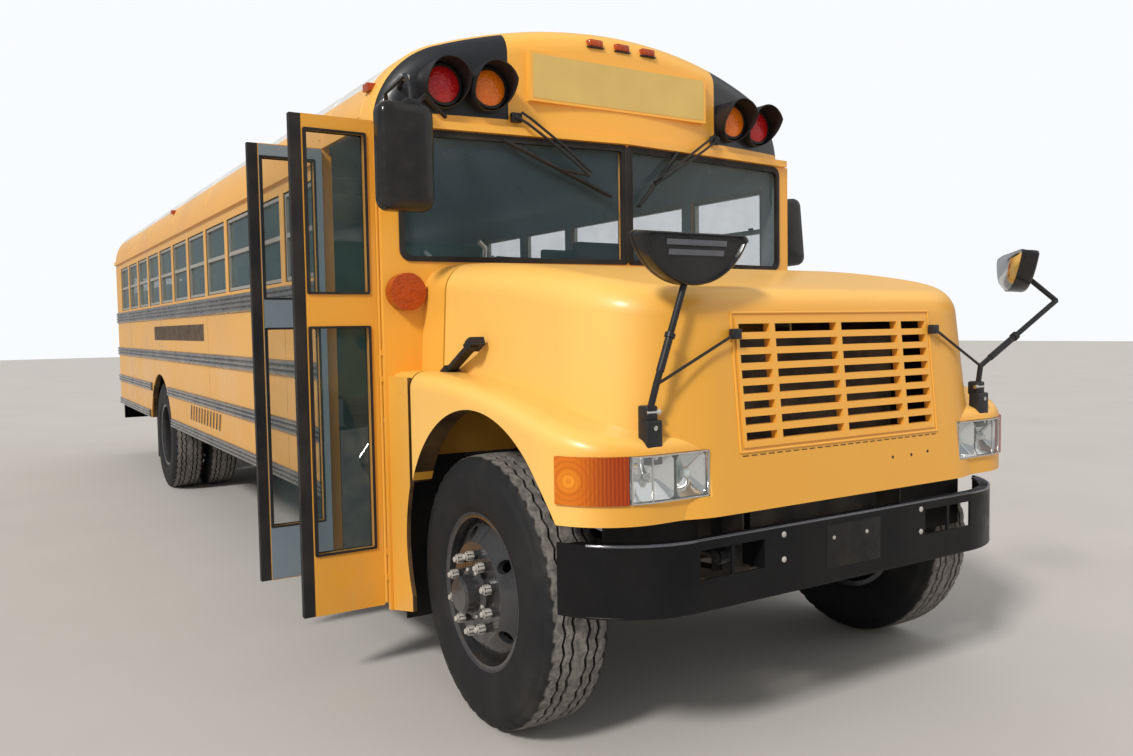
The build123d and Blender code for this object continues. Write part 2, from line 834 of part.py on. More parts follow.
def chassis_nodes():
    """The frame with its steering box, and the leaf springs."""
    frame = None
    for side in (-1, 1):
        web = (side * rail_half, side * (rail_half - rail_web))
        flange = (side * rail_half, side * (rail_half - rail_flange))
        low = rail_top - rail_depth
        rail = block((rail_rear, rail_front), web, (low, rail_top))
        rail += block((rail_rear, rail_front), flange, (rail_top - rail_web, rail_top))
        rail += block((rail_rear, rail_front), flange, (low, low + rail_web))
        frame = rail if frame is None else frame + rail
        frame += across(hood_pivot_x, hood_pivot_z, (side * (rail_half - 4), side * 536), 12)
        frame += across(hood_pivot_x, hood_pivot_z, (side * (rail_half - 4), side * 494), 24)
        frame += across(hood_pivot_x, hood_pivot_z, (side * 530, side * 536), 20)
    for x in (500, -900, -2600, -4300, -5900, -7500, -8700, -9600):
        inner = rail_half - rail_web
        frame += block((x - 30, x + 30), (-inner, inner), (rail_top - 24, rail_top - 9))
        frame += block((x - 4, x + 4), (-inner, inner), (rail_top - 60, rail_top - 9))
    frame += block((170, 370), (rail_half, 535), (690, 860)) + block((230, 280), (500, 530), (520, 691))
    save("frame_rails", frame)

    springs = []
    for axle_x, half, low, inner_y in ((0, 640, 530, 352), (-wheelbase, 720, 610, 450)):
        for side in (-1, 1):
            y = (side * inner_y, side * (inner_y + spring_width))
            rear, front = (axle_x - half, axle_x + half)
            camber = 62
            eye_top = low + camber + 30
            outline = [
                ThreePointArc((rear, low + camber), (axle_x, low), (front, low + camber)),
                Line((front, low + camber), (front, eye_top)),
                ThreePointArc((front, eye_top), (axle_x, low + 52), (rear, eye_top)),
                Line((rear, eye_top), (rear, low + camber)),
            ]
            leaf = extrude(Plane.XZ * make_face(outline), amount=spring_width)
            leaf = Pos(0, max(y), 0) * leaf
            for end in (-half + 36, half - 36):
                x = (axle_x + end - 36, axle_x + end + 36)
                if inner_y < rail_half:
                    leaf += block(x, y, (low + camber, rail_top - rail_depth))
                else:
                    leaf += block(x, (side * rail_half, y[1]), (low + camber, low + camber + 70))
            springs.append(leaf)
    save("leaf_springs", *springs)


def axle_nodes():
    """Front axle, steering knuckles, tie rod, rear axle and drive shaft."""
    beam = [
        (-800, 470), (-560, 470), (-470, 400), (470, 400), (560, 470), (800, 470),
        (800, 560), (520, 560), (430, 500), (-430, 500), (-520, 560), (-800, 560),
    ]
    axle = cross_profile(make_face(Polyline(*beam, close=True)), (-50, 50))
    for x in (-50, 50):
        groove = block((x - 16, x + 16), (-410, 410), (418, 482))
        axle -= groove
    for side in (-1, 1):
        eye = Pos(0, side * king_pin_y, tyre_radius) * Cylinder(50, 110)
        arm = block((-45, 45), (side * 780, side * king_pin_y), (480, 555))
        axle += eye + arm
        axle -= Pos(0, side * king_pin_y, tyre_radius) * Cylinder(king_pin_radius + spindle_gap, 200)
        axle += block((-60, 60), (side * 340, side * 440), (490, 530))
    save("front_axle", axle)

    for side, name in ((-1, "knuckle_right"), (1, "knuckle_left")):
        pin = Pos(0, side * king_pin_y, tyre_radius) * Cylinder(king_pin_radius, 200)
        knuckle = pin
        for low, high in ((575.3, 612), (428, 464.7)):
            knuckle += block((-42, 42), (side * 815, side * 930), (low, high))
        knuckle += block((-42, 42), (side * 918, side * 935), (428, 612))
        knuckle += across(0, tyre_radius, (side * 930, side * 1110), hub_bore - spindle_gap)
        arm = block((-tie_x - 30, -30), (side * 800, side * 840), (432, 460))
        arm += block((-60, -20), (side * 800, side * 900), (432, 460))
        knuckle += arm
        if side < 0:
            knuckle += Pos(-tie_x, side * 820, tie_z + 15) * Cylinder(tie_pin, 60)
        save(name, knuckle)

    tie = across(-tie_x, tie_z, (-820, 795), 16)
    tie += Pos(-tie_x, -820, tie_z) * Cylinder(26, 36)
    tie -= Pos(-tie_x, -820, tie_z) * Cylinder(tie_pin + spindle_gap, 100)
    tie += Pos(-tie_x, 820, tie_z) * Cylinder(26, 36)
    save("tie_rod", tie)

    rear = across(-wheelbase, tyre_radius, (-560, 560), 70)
    rear += Pos(-wheelbase, 0, tyre_radius) * Sphere(185)
    rear += rod((-wheelbase, 0, tyre_radius), (-wheelbase + 330, 0, tyre_radius + 40), 85)
    for side in (-1, 1):
        rear += across(-wheelbase, tyre_radius, (side * 540, side * 1010), hub_bore - spindle_gap)
        rear += block((-wheelbase - 60, -wheelbase + 60), (side * 446, side * 530), (tyre_radius, 610))
        rear += across(-wheelbase, tyre_radius, (side * 540, side * 565), 190)
    save("rear_axle", rear)
    start = (-wheelbase + 336, 0, tyre_radius + 41)
    centre = (-3600, 0, 700)
    nose = (-1250, 0, 800)
    shaft = rod(start, centre, 45) + rod(centre, nose, 45) + Pos(*centre) * Sphere(60)
    shaft += block((-3640, -3560), (-60, 60), (700, 760)) + block((-3640, -3560), (-423, 423), (745, 775))
    save("drive_shaft", shaft)


def tyre_stack(profile):
    """A many-sided form about an axis across the bus, from its (y, radius) sections."""
    sections = []
    for y, radius in profile:
        place = Plane(origin=(0, y, 0), x_dir=(1, 0, 0), z_dir=(0, 1, 0))
        turn = 180 / tyre_sides
        sections.append(place * RegularPolygon(radius, tyre_sides, major_radius=False, rotation=turn))
    return loft([section.face() for section in sections], ruled=True)


def tyre():
    """A tyre about the origin: sidewalls, shoulders and tread round an open casing."""
    half = tyre_width / 2
    tread = tread_width / 2
    outside = [(half, 425), (half - 8, 478), (tread + 4, tyre_radius - 6), (tread - 16, tyre_radius)]
    inside = [(half, 390), (rim_width / 2 - bead_inset, tyre_bore)]
    casing = tyre_stack([(-y, radius) for y, radius in outside] + outside[::-1])
    return casing - tyre_stack([(-y, radius) for y, radius in inside] + inside[::-1])


def barrel_profile():
    """The rim's barrel as (radius, y) points, whose flanges hold the tyre's beads."""
    half = rim_width / 2
    seat = tyre_bore - bead_gap
    return [
        (seat, -half), (seat, half), (tyre_bore + 12, half), (tyre_bore + 12, half + 8),
        (tyre_bore - 10, half + 2), (tyre_bore - 14, 88), (tyre_bore - 14, -88),
        (tyre_bore - 10, -half - 2), (tyre_bore + 12, -half - 8), (tyre_bore + 12, -half),
    ]


def disc_profile(dish):
    """The steel disc from the barrel to the hub, dished along its axis."""
    outer = tyre_bore - 13
    return [
        (outer, 30), (outer, 70), (190, 60 + dish), (100, 60 + dish),
        (100, 46 + dish), (185, 46 + dish), (outer - 14, 30),
    ]


def wheel_nuts(x, y, reach):
    """The studs and nuts of one wheel, on their circle."""
    nuts = []
    for i in range(nut_count):
        turn = radians(360 / nut_count * (i + 0.5))
        nut_x, nut_z = (nut_circle / 2 * cos(turn), nut_circle / 2 * sin(turn))
        nuts.append(across(x + nut_x, tyre_radius + nut_z, (y, y + reach), 17))
    return nuts


def hand_holes(x, y):
    """The five holes of a disc wheel, between the nuts and the barrel."""
    holes = []
    for i in range(5):
        turn = radians(72 * i + 36)
        hole_x, hole_z = (222 * cos(turn), 222 * sin(turn))
        holes.append(across(x + hole_x, tyre_radius + hole_z, (y - 160, y + 160), 25))
    return holes


def front_rim():
    """A front wheel without its tyre: barrel, disc, brake drum, hub and nuts."""
    y = front_wheel_y
    rim = turned(barrel_profile(), y) + turned(disc_profile(76), y)
    rim -= hand_holes(0, y)
    hub = [(hub_bore, -60), (180, -60), (180, 20), (110, 30), (101, 120), (101, 150), (75, 160), (70, 205),
           (60, 214), (0, 214), (0, 112), (hub_bore, 112)]
    return rim + turned(hub, y) + wheel_nuts(0, y + 120, 58)


def rear_rims():
    """Twin rear wheels without their tyres, back to back on one hub."""
    rims = None
    for y, dish in ((dual_outer_y, -1), (dual_inner_y, 1)):
        barrel = turned(barrel_profile(), y, x=-wheelbase)
        barrel += turned([(r, dish * d) for r, d in disc_profile(80)], y, x=-wheelbase)
        rims = barrel if rims is None else rims + barrel
    middle = (dual_outer_y + dual_inner_y) / 2
    rims -= hand_holes(-wheelbase, middle)
    hub = [(hub_bore, -250), (180, -250), (180, -80), (150, -60), (150, 30), (105, 40), (100, 190),
           (85, 205), (0, 205), (0, 118), (hub_bore, 118)]
    return rims + turned(hub, middle, x=-wheelbase) + wheel_nuts(-wheelbase, middle + 20, 64)


def wheel_nodes():
    """Tyres and rims: single wheels in front, twins behind."""
    casing = tyre()
    rims = (front_rim(), rear_rims())
    for side, name in ((-1, "right"), (1, "left")):
        save(f"front_tyre_{name}", Pos(0, side * front_wheel_y, tyre_radius) * casing)
        rear = [Pos(-wheelbase, side * y, tyre_radius) * casing for y in (dual_outer_y, dual_inner_y)]
        save(f"rear_tyres_{name}", *rear)
        front_rims, twin_rims = rims if side > 0 else [on_left(rim) for rim in rims]
        save(f"front_rim_{name}", front_rims)
        save(f"rear_rims_{name}", twin_rims)


def running_gear():
    """Engine, radiator, tank, exhaust and bumpers."""
    engine = block((-430, 440), (-300, 300), (600, 1440))
    for side in (-1, 1):
        for x in (-360, 330):
            lug = (side * 300, side * (rail_half - rail_web))
            engine += block((x - 40, x + 40), lug, (rail_top - 170, rail_top - 110))
    save("engine_block", engine)
    radiator = block((560, 640), (-345, 345), (740, rail_top + 1))
    radiator += block((560, 640), (-432, 432), (rail_top, 1480))
    save("radiator", radiator)
    tank = block((-8600, -7620), (-350, 350), (560, 880))
    tank = fillet(tank.edges().filter_by(Axis.X), radius=50)
    tank += block((-8580, -8540), (-423, 423), (790, 830)) + block((-7680, -7640), (-423, 423), (790, 830))
    save("fuel_tank", tank)
    exhaust = rod((-1500, 600, 600), (-2900, 600, 600), 45)
    exhaust += rod((-2900, 600, 600), (-4100, 600, 600), 115)
    exhaust += rod((-4100, 600, 600), (-5400, 600, 600), 45) + Pos(-5400, 600, 600) * Sphere(45)
    exhaust += rod((-5400, 600, 600), (-5620, 1160, 560), 45)
    for x in (-3000, -4000, -5200):
        exhaust += block((x - 15, x + 15), (rail_half, 600), (rail_top - 40, rail_top - 20))
        exhaust += block((x - 15, x + 15), (590, 610), (600, rail_top - 20))
    save("exhaust", exhaust)

    front = front_bumper_form()
    for near, far in ((586, 724), (434, 572)):
        for side in (-1, 1):
            front -= block((700, 900), (side * near, side * far), (676, 776))
    for side in (-1, 1):
        bracket = (side * 390, side * rail_half)
        front += block((rail_front, bumper_front - bumper_web), bracket, (rail_top - 240, rail_top - 120))
        front -= rod((700, side * plate_hole_y, 735), (900, side * plate_hole_y, 735), plate_hole)
    save("front_bumper", front)
    rear = block((bumper_rear, body_rear - 6), (-1180, 1180), (460, 690))
    rear = fillet(rear.edges().filter_by(Axis.Z).sort_by(Axis.X)[:2], radius=90)
    rear_inner = block((bumper_rear + 9, -9600), (-1171, 1171), (469, 681))
    rear -= fillet(rear_inner.edges().filter_by(Axis.Z).sort_by(Axis.X)[:2], radius=81)
    for side in (-1, 1):
        rear += block((bumper_rear + 9, -9560), (side * 350, side * 400), (560, 640))
        rear += block((-9690, -9560), (side * 350, side * 400), (630, rail_top - rail_depth))
    save("rear_bumper", rear)


def mud_flaps():
    """Rubber flaps behind the front and the rear wheels, hung from the body's underside."""
    flaps = []
    for x, near, far, low in ((-694, 850, 1150, 240), (-7460, 600, 1150, 220)):
        for side in (-1, 1):
            flaps.append(block((x, x + 8), (side * near, side * far), (low, floor_z - floor_depth)))
    save("mud_flaps", *flaps)


def bumper_plan(inset):
    """The front bumper's plan, with swept-back ends."""
    half = bumper_half - inset
    front = bumper_front - inset
    face = make_face(Polyline((300, -half), (front, -half), (front, half), (300, half), close=True))
    return fillet(face.vertices().sort_by(Axis.X)[-2:], radius=bumper_round - inset)


def front_bumper_form():
    """The front bumper: a web that sweeps back at its ends, between two flanges."""
    web = bumper_plan(0) - bumper_plan(bumper_web)
    flange = bumper_plan(0) - bumper_plan(bumper_flange)
    bar = Pos(0, 0, bumper_low) * extrude(web, amount=bumper_high - bumper_low)
    for z in (bumper_low, bumper_high - bumper_web):
        shelf = Pos(0, 0, z) * extrude(flange, amount=bumper_web)
        bar += shelf & block((flange_end, bumper_front + 1), (-1300, 1300), (0, 2000))
    return bar & block((bumper_end, bumper_front + 1), (-1300, 1300), (0, 2000))


def floor_node():
    """The floor with its bearers, wheel housings and the entrance steps."""
    inner = body_half - wall
    low = floor_z - floor_depth
    node = block((rear_wall_front, front_centre), (-inner, inner), (low, floor_z))
    node -= ahead_of_wall(front_wall_depth)
    for x in range(-9500, -900, 711):
        node += block((x - 25, x + 25), (-900, 900), (rail_top, low))
    tub = (-wheelbase - 640, -wheelbase + 640)
    for side in (-1, 1):
        wide = (side * 550, side * inner)
        node += block(tub, wide, (low, 1150))
        node -= block((tub[0] + 25, tub[1] - 25), (side * 575, side * (inner + 5)), (rail_top - 60, 1125))
    well = (jamb_rear, jamb_front - 14)
    node -= block(well, (-inner - 5, step_inner), (low - 60, floor_z + 5))
    rise = (floor_z - (door_sill + 30)) / 2
    first = door_sill + 30
    run = (inner + step_inner) / 2
    stairs = block(well, (-inner, step_inner + 30), (door_sill - 20, floor_z))
    for level in range(3):
        z = first + level * rise
        edge = -inner + (level + 1) * run if level < 2 else step_inner
        stairs -= block((well[0] + 20, well[1] - 20), (-inner - 5, edge), (z, floor_z + 5))
        under = -inner + level * run
        if level > 0:
            soffit = first + (level - 1) * rise - 30
            stairs -= block(well, (under + 30, step_inner + 40), (door_sill - 30, soffit))
    for side_x in (well[0], well[1] - 20):
        stairs += block((side_x, side_x + 20), (-inner, step_inner), (door_sill - 20, floor_z))
    node += stairs
    save("floor", node)


def seat(x, side, width_low):
    """A bench seat with a high back, standing on its aisle leg."""
    y = (side * width_low, side * (body_half - wall))
    cushion = block((x - 40, x + 400), y, (floor_z + seat_height - 110, floor_z + seat_height))
    cushion = fillet(cushion.edges().filter_by(Axis.Y), radius=30)
    back = side_profile(
        [(x - 40, floor_z + seat_height - 60), (x + 50, floor_z + seat_height - 60),
         (x - 30, floor_z + seat_back_top), (x - 100, floor_z + seat_back_top)], y)
    back = fillet(back.edges().filter_by(Axis.Y).sort_by(Axis.Z)[-2:], radius=25)
    leg_y = (side * (width_low + 60), side * (width_low + 90))
    leg = block((x + 20, x + 60), leg_y, (floor_z, floor_z + seat_height - 100))
    leg += block((x + 300, x + 340), leg_y, (floor_z, floor_z + seat_height - 100))
    return cushion + back + leg


def barrier(x, side):
    """A padded barrier ahead of the first seat."""
    y = (side * aisle_half, side * (body_half - wall))
    pad = block((x, x + 40), y, (floor_z + 130, floor_z + seat_back_top))
    pad = fillet(pad.edges().filter_by(Axis.Y).sort_by(Axis.Z)[-2:], radius=15)
    for foot in (aisle_half + 60, body_half - wall - 90):
        pad += block((x + 8, x + 32), (side * foot, side * (foot + 30)), (floor_z, floor_z + 131))
    return pad


def cabin_nodes():
    """Passenger seats, the driver's seat, the dashboard and the steering wheel."""
    seats = []
    for row in range(seat_rows):
        for side in (-1, 1):
            seats.append(seat(first_seat - row * seat_pitch, side, aisle_half))
    seats += [barrier(right_barrier, -1), barrier(left_barrier, 1)]
    save("passenger_seats", *seats)
    x, y, z = (driver_x, driver_y, floor_z)
    driver = block((x, x + 450), (y - 250, y + 250), (z + 330, z + 430))
    back = [(x - 60, z + 380), (x + 50, z + 380), (x - 20, z + 1050), (x - 110, z + 1050)]
    driver += side_profile(back, (y - 240, y + 240))
    driver += block((x + 120, x + 320), (y - 100, y + 100), (z, z + 330))
    save("driver_seat", driver)
    dash = block((-800, front_centre), (-560, 1160), (z + 420, shield_low - 40))
    dash -= ahead_of_wall(front_wall_depth)
    column = rod((-760, y, z + 560), (-1010, y, z + 800), 28)
    wheel_plane = Plane(origin=(-1020, y, z + 810), z_dir=(-0.7, 0, 0.72))
    ring = wheel_plane * Torus(230, 14)
    spokes = wheel_plane * (Box(450, 34, 16) + Cylinder(50, 30))
    save("dashboard", dash + column + ring + spokes)


shell = nose_shell()
hood_nodes(shell)
body_nodes(shell)
glass_nodes()
door_nodes()
exit_nodes()
lamp_nodes()
fittings()
chassis_nodes()
axle_nodes()
wheel_nodes()
running_gear()
mud_flaps()
floor_node()
cabin_nodes()
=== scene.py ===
import math

import bmesh
import bpy
from mathutils import Matrix, Vector


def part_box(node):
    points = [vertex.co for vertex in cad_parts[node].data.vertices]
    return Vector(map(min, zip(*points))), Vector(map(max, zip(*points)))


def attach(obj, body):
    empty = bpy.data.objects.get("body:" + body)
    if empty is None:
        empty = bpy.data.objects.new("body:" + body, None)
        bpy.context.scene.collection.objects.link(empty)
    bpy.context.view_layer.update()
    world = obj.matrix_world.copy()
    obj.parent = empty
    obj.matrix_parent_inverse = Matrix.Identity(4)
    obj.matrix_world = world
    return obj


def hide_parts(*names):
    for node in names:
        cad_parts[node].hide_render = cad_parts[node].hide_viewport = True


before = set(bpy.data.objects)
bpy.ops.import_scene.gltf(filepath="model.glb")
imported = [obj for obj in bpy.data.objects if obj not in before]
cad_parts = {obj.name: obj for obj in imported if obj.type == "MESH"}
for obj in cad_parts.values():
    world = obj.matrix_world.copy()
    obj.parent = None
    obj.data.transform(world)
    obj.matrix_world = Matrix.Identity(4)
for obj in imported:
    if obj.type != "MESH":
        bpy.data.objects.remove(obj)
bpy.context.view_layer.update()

# Places taken from the frame, in metres
front_low, front_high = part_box("front_tyre_right")
rear_low, rear_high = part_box("rear_tyres_right")
axle_x = (front_low.x + front_high.x) / 2
rear_axle_x = (rear_low.x + rear_high.x) / 2
rear_station = rear_axle_x - axle_x
wheel_z = (front_low.z + front_high.z) / 2
tyre_radius = (front_high.z - front_low.z) / 2
front_wheel_y = -(front_low.y + front_high.y) / 2

# Further places, with x measured from the front axle, as in every piece below
FLOOR_Z = 1.0102
REAR_X = -9.790
PILLAR_X = -1.528
BAY = 0.711
CAP_BOW = 5.2
ARCH_Z = 0.505

# Directions, and the sides that a form is built on
AHEAD = (1, 0, 0)
BACK = (-1, 0, 0)
OUT = (0, 1, 0)
LEFT = (1,)
BOTH = (-1, 1)
HANDS = ((-1, "right"), (1, "left"))

# Paint and other colours, linear
BODY_YELLOW = (0.83, 0.385, 0.035)
HOOD_YELLOW = (0.87, 0.43, 0.055)
# The pale yellow that upper and side faces turn to: partly sun bleaching, partly a painted highlight
FADED_AND_LIT_YELLOW = (0.93, 0.56, 0.15)
ROOF_WHITE = (0.80, 0.80, 0.78)
PANEL_BLACK = (0.011, 0.013, 0.017)
TRIM_BLACK = (0.016, 0.016, 0.018)
DUST = (0.36, 0.29, 0.21)


class Value:
    """A number or colour in a material, which plain arithmetic turns into nodes."""

    def __init__(self, graph, socket):
        self.graph = graph
        self.socket = socket

    def __add__(self, other):
        return self.graph.math("ADD", self, other)

    def __sub__(self, other):
        return self.graph.math("SUBTRACT", self, other)

    def __mul__(self, other):
        return self.graph.math("MULTIPLY", self, other)

    def __truediv__(self, other):
        return self.graph.math("DIVIDE", self, other)

    def __abs__(self):
        return self.graph.math("ABSOLUTE", self)

    def __gt__(self, other):
        return self.graph.math("GREATER_THAN", self, other)

    def __lt__(self, other):
        return self.graph.math("LESS_THAN", self, other)

    def __and__(self, other):
        return self.graph.math("MULTIPLY", self, other)

    def __or__(self, other):
        return self.graph.math("MAXIMUM", self, other)


class Graph:
    """The nodes of one material, made by short calls."""

    def __init__(self, owner):
        self.material = bpy.data.materials.new(owner) if isinstance(owner, str) else owner
        self.material.use_nodes = True
        self.nodes = self.material.node_tree.nodes
        self.links = self.material.node_tree.links
        self.shader = self.nodes["Principled BSDF"]
        self.place = self.node("TexCoord", "Object")

    def set(self, socket, value):
        if isinstance(value, Value):
            self.links.new(value.socket, socket)
        elif socket.type == "RGBA":
            socket.default_value = (*value, 1)
        else:
            socket.default_value = value

    def node(self, kind, output, settings=None, **inputs):
        """Add a node, set its inputs by name, and return one of its outputs."""
        node = self.nodes.new("ShaderNode" + kind)
        for key, value in (settings or {}).items():
            setattr(node, key, value)
        for key, value in inputs.items():
            self.set(node.inputs[key.replace("_", " ")], value)
        return Value(self, node.outputs[output])

    def split(self, kind):
        """X, Y and Z of the place (Object) or of the shape's own normal, which turns with it (Normal)."""
        place = self.node("TexCoord", kind)
        return [self.node("SeparateXYZ", key, Vector=place) for key in "XYZ"]

    def math(self, kind, a, b=0.0, clamp=False):
        node = self.nodes.new("ShaderNodeMath")
        node.operation = kind
        node.use_clamp = clamp
        self.set(node.inputs[0], a)
        self.set(node.inputs[1], b)
        return Value(self, node.outputs[0])

    def noise(self, scale, detail=3.0, roughness=0.55, place=None):
        return self.node("TexNoise", "Fac", Vector=place or self.place, Scale=scale, Detail=detail,
                         Roughness=roughness)

    def ramp(self, value, low, high, to_low=0.0, to_high=1.0):
        return self.node("MapRange", "Result", {"interpolation_type": "SMOOTHSTEP"}, Value=value,
                         From_Min=low, From_Max=high, To_Min=to_low, To_Max=to_high)

    def mix(self, factor, a, b):
        node = self.nodes.new("ShaderNodeMix")
        node.data_type = "RGBA"
        for index, value in ((0, factor), (6, a), (7, b)):
            self.set(node.inputs[index], value)
        return Value(self, node.outputs[2])

    def bump(self, height, distance, strength=1.0):
        bent = self.node("Bump", "Normal", Strength=strength, Distance=distance, Height=height)
        self.set(self.shader.inputs["Normal"], bent)

    def over(self, amount, colour):
        """Cover the base colour by another where the amount is 1."""
        socket = self.shader.inputs["Base Color"]
        self.set(socket, self.mix(amount, Value(self, socket.links[0].from_socket), colour))

    def outward(self, across, y):
        """The normal's share that points away from the centreline."""
        return across * self.math("SIGN", y)

    def finish(self, **inputs):
        for key, value in inputs.items():
            self.set(self.shader.inputs[key.replace("_", " ")], value)
        return self.material


def paint(name, colour, roughness=0.32, faded_and_lit=FADED_AND_LIT_YELLOW, fade_and_sheen=0.35, dust_top=1.1, side=0.0):
    """Bus paint: chalky and paler on upper faces, partly sun bleaching and partly a painted highlight, paler
    on side faces by side as a painted highlight, less pale on forward faces as painted shade, dust low down,
    and a little orange peel.
    """
    g = Graph(name)
    clouds = g.noise(1.3, 4)
    streaks = g.noise(3.0, 3, 0.6, g.node("Mapping", "Vector", Vector=g.place, Scale=(1.5, 1.5, 0.25)))
    ahead, across, up = g.split("Normal")
    # Painted light: upward faces paler (partly sun bleaching, partly a painted highlight), side faces paler
    # by side (a painted highlight), forward faces less pale (painted shade)
    top = g.ramp(up, 0.15, 0.95) * 0.9
    flank_sheen = g.ramp(abs(across), 0.45, 0.95) * side
    front = g.ramp(ahead, 0.75, 0.98, 1.0, 0.35)
    amount = (clouds * 0.5 + (top + flank_sheen)) * front * fade_and_sheen
    shade = g.mix(g.math("MINIMUM", amount, 1.0), colour, faded_and_lit)
    shade = g.mix(g.ramp(streaks, 0.62, 0.80, 0.0, 0.10), shade, (0.25, 0.13, 0.04))
    grime = g.ramp(g.split("Object")[2], dust_top, 0.45) * g.ramp(g.noise(5.5, 5), 0.35, 0.75)
    shade = g.mix(grime * 0.10, shade, DUST)
    shade = g.mix(g.ramp(g.noise(95.0, 2), 0.70, 0.78, 0.0, 0.16), shade, (0.16, 0.09, 0.04))
    g.bump(g.noise(240.0, 2), 0.0006, 0.12)
    rough = g.ramp(clouds, 0.3, 0.7, roughness - 0.06, roughness + 0.10) + grime * 0.3
    return g.finish(Base_Color=shade, Roughness=rough, Coat_Weight=0.18, Coat_Roughness=0.16)


def coloured(name, colour, roughness=0.5, metallic=0.0, vary=0.25, scale=9.0, bump=0.0, grain=180.0,
             dusty=0.0, coat=0.0, shine=0.5):
    """A plain finish with its own small changes of tone, grain and dust."""
    g = Graph(name)
    light = tuple(min(1.0, c * (1 + vary) + 0.01 * vary) for c in colour)
    shade = g.mix(g.noise(scale, 4), tuple(c * (1 - vary) for c in colour), light)
    if dusty:
        shade = g.mix(g.ramp(g.noise(scale * 0.6, 5), 0.3, 0.75) * dusty, shade, DUST)
    if bump:
        g.bump(g.noise(grain, 3), bump, 0.5)
    rough = g.ramp(g.noise(scale * 2.2, 3), 0.3, 0.7, max(0.04, roughness - 0.08), min(1.0, roughness + 0.1))
    return g.finish(Base_Color=shade, Roughness=rough, Metallic=metallic, Coat_Weight=coat,
                    Coat_Roughness=0.1, Specular_IOR_Level=shine)


def glass(name, colour, alpha, dirt):
    """Window glass: clear with a tint, a gloss and a film of dust."""
    g = Graph(name)
    film = g.ramp(g.noise(6.0, 5), 0.35, 0.8, 0.0, dirt)
    slant = g.math("POWER", g.node("LayerWeight", "Facing", Blend=0.5), 4.0) * 0.75
    return g.finish(Base_Color=g.mix(film, colour, (0.42, 0.40, 0.36)), Roughness=film + 0.03,
                    Alpha=g.math("ADD", film + alpha, slant, True), Specular_IOR_Level=0.9)


def lens(name, colour, deep, rings):
    """A moulded lamp lens over its reflector."""
    g = Graph(name)
    height = g.node("TexVoronoi", "Distance", Vector=g.place, Scale=rings)
    g.bump(height, 0.004, 0.7)
    tone = g.mix(g.ramp(height, 0.1, 0.6, 0.45, 0.0), g.mix(g.noise(26.0, 3), deep, colour), colour)
    return g.finish(Base_Color=tone, Roughness=0.16, Coat_Weight=0.25, Coat_Roughness=0.05)


def lamp_glass():
    """The headlamps' clear cover, with faint upright ribs."""
    g = Graph("clear_lens")
    g.bump(g.node("TexWave", "Fac", {"bands_direction": "Y"}, Vector=g.place, Scale=26.0), 0.001, 0.35)
    return g.finish(Base_Color=(0.70, 0.74, 0.72), Roughness=0.06, Alpha=0.16, Specular_IOR_Level=0.8)


def ribbed_amber():
    """The turn lamps round the fenders' corners: upright ribs, paler arcs towards their outer end, a painted
    highlight there, and painted shade towards the front and in the ribs' troughs.
    """
    g = Graph("amber_ribbed_lens")
    x, y, z = g.split("Object")
    turn = g.math("ARCTAN2", abs(y) - 0.865, x - (axle_x + 0.478))
    ribs = g.math("SINE", turn * (2 * math.pi * 24))
    rise = (z - 1.028) * 3.4
    away = turn - 1.02
    reach = g.math("SQRT", rise * rise + away * away)
    arcs = g.math("SINE", reach * 95.0)
    # Painted shade: darker towards the lamp's front end
    shade = g.mix(g.ramp(turn, 0.45, 1.05), (0.38, 0.042, 0.001), (0.66, 0.165, 0.004))
    # Painted highlight: a bright pale spot near the outer end
    shade = g.mix(g.ramp(reach, 0.04, 0.16, 0.75, 0.0), shade, (0.86, 0.31, 0.015))
    shade = g.mix(g.ramp(arcs, 0.2, 0.9, 0.0, 0.35), shade, (0.42, 0.07, 0.002))
    # Painted shade: dark stripes in the ribs' troughs towards the front end
    shade = g.mix(g.ramp(ribs, -0.5, 0.9, 0.45, 0.0) & g.ramp(turn, 0.95, 0.6), shade, (0.16, 0.016, 0.001))
    g.bump(ribs, 0.0015, 0.6)
    return g.finish(Base_Color=shade, Roughness=0.16, Coat_Weight=0.10, Coat_Roughness=0.04,
                    Specular_IOR_Level=0.3)


def cabin_lining(g):
    return g.mix(g.noise(5.0, 4), (0.32, 0.37, 0.39), (0.42, 0.47, 0.49))


# Dark brown for faces inside and under the bodywork: partly dirt, partly painted shade
def dirt_and_shade_brown(g):
    return g.mix(g.ramp(g.noise(7.0, 5), 0.35, 0.7), (0.050, 0.026, 0.010), (0.13, 0.070, 0.024))


def cap_paint():
    """The front cap: yellow, with a black field behind each pair of warning lamps, and its lining."""
    g = Graph(paint("cap_yellow", HOOD_YELLOW, fade_and_sheen=0.45))
    x, y, z = g.split("Object")
    ahead, across, up = g.split("Normal")
    out = abs(y)
    on_face = x + y * y / (2 * CAP_BOW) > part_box("front_cap")[1].x - 0.105
    g.over((out > 0.617) & (z > 2.47) & on_face, PANEL_BLACK)
    inside = (ahead < -0.5) | (g.outward(across, y) < -0.4) | ((up < -0.5) & (out < 1.10))
    g.over(inside & (x < axle_x - 0.70), cabin_lining(g))
    return g.material


def roof_paint():
    """The roof: yellow along the eaves, white above them, and lined inside."""
    g = Graph(paint("roof_paint", BODY_YELLOW, fade_and_sheen=0.6, faded_and_lit=(0.90, 0.60, 0.28)))
    y, z = g.split("Object")[1:]
    across, up = g.split("Normal")[1:]
    g.over(g.ramp(z, 2.635, 2.650), g.mix(g.noise(4.0, 5), ROOF_WHITE, tuple(c * 0.88 for c in ROOF_WHITE)))
    g.over((g.outward(across, y) + up * 0.6 < -0.2) & (abs(y) < 1.20), cabin_lining(g))
    return g.material


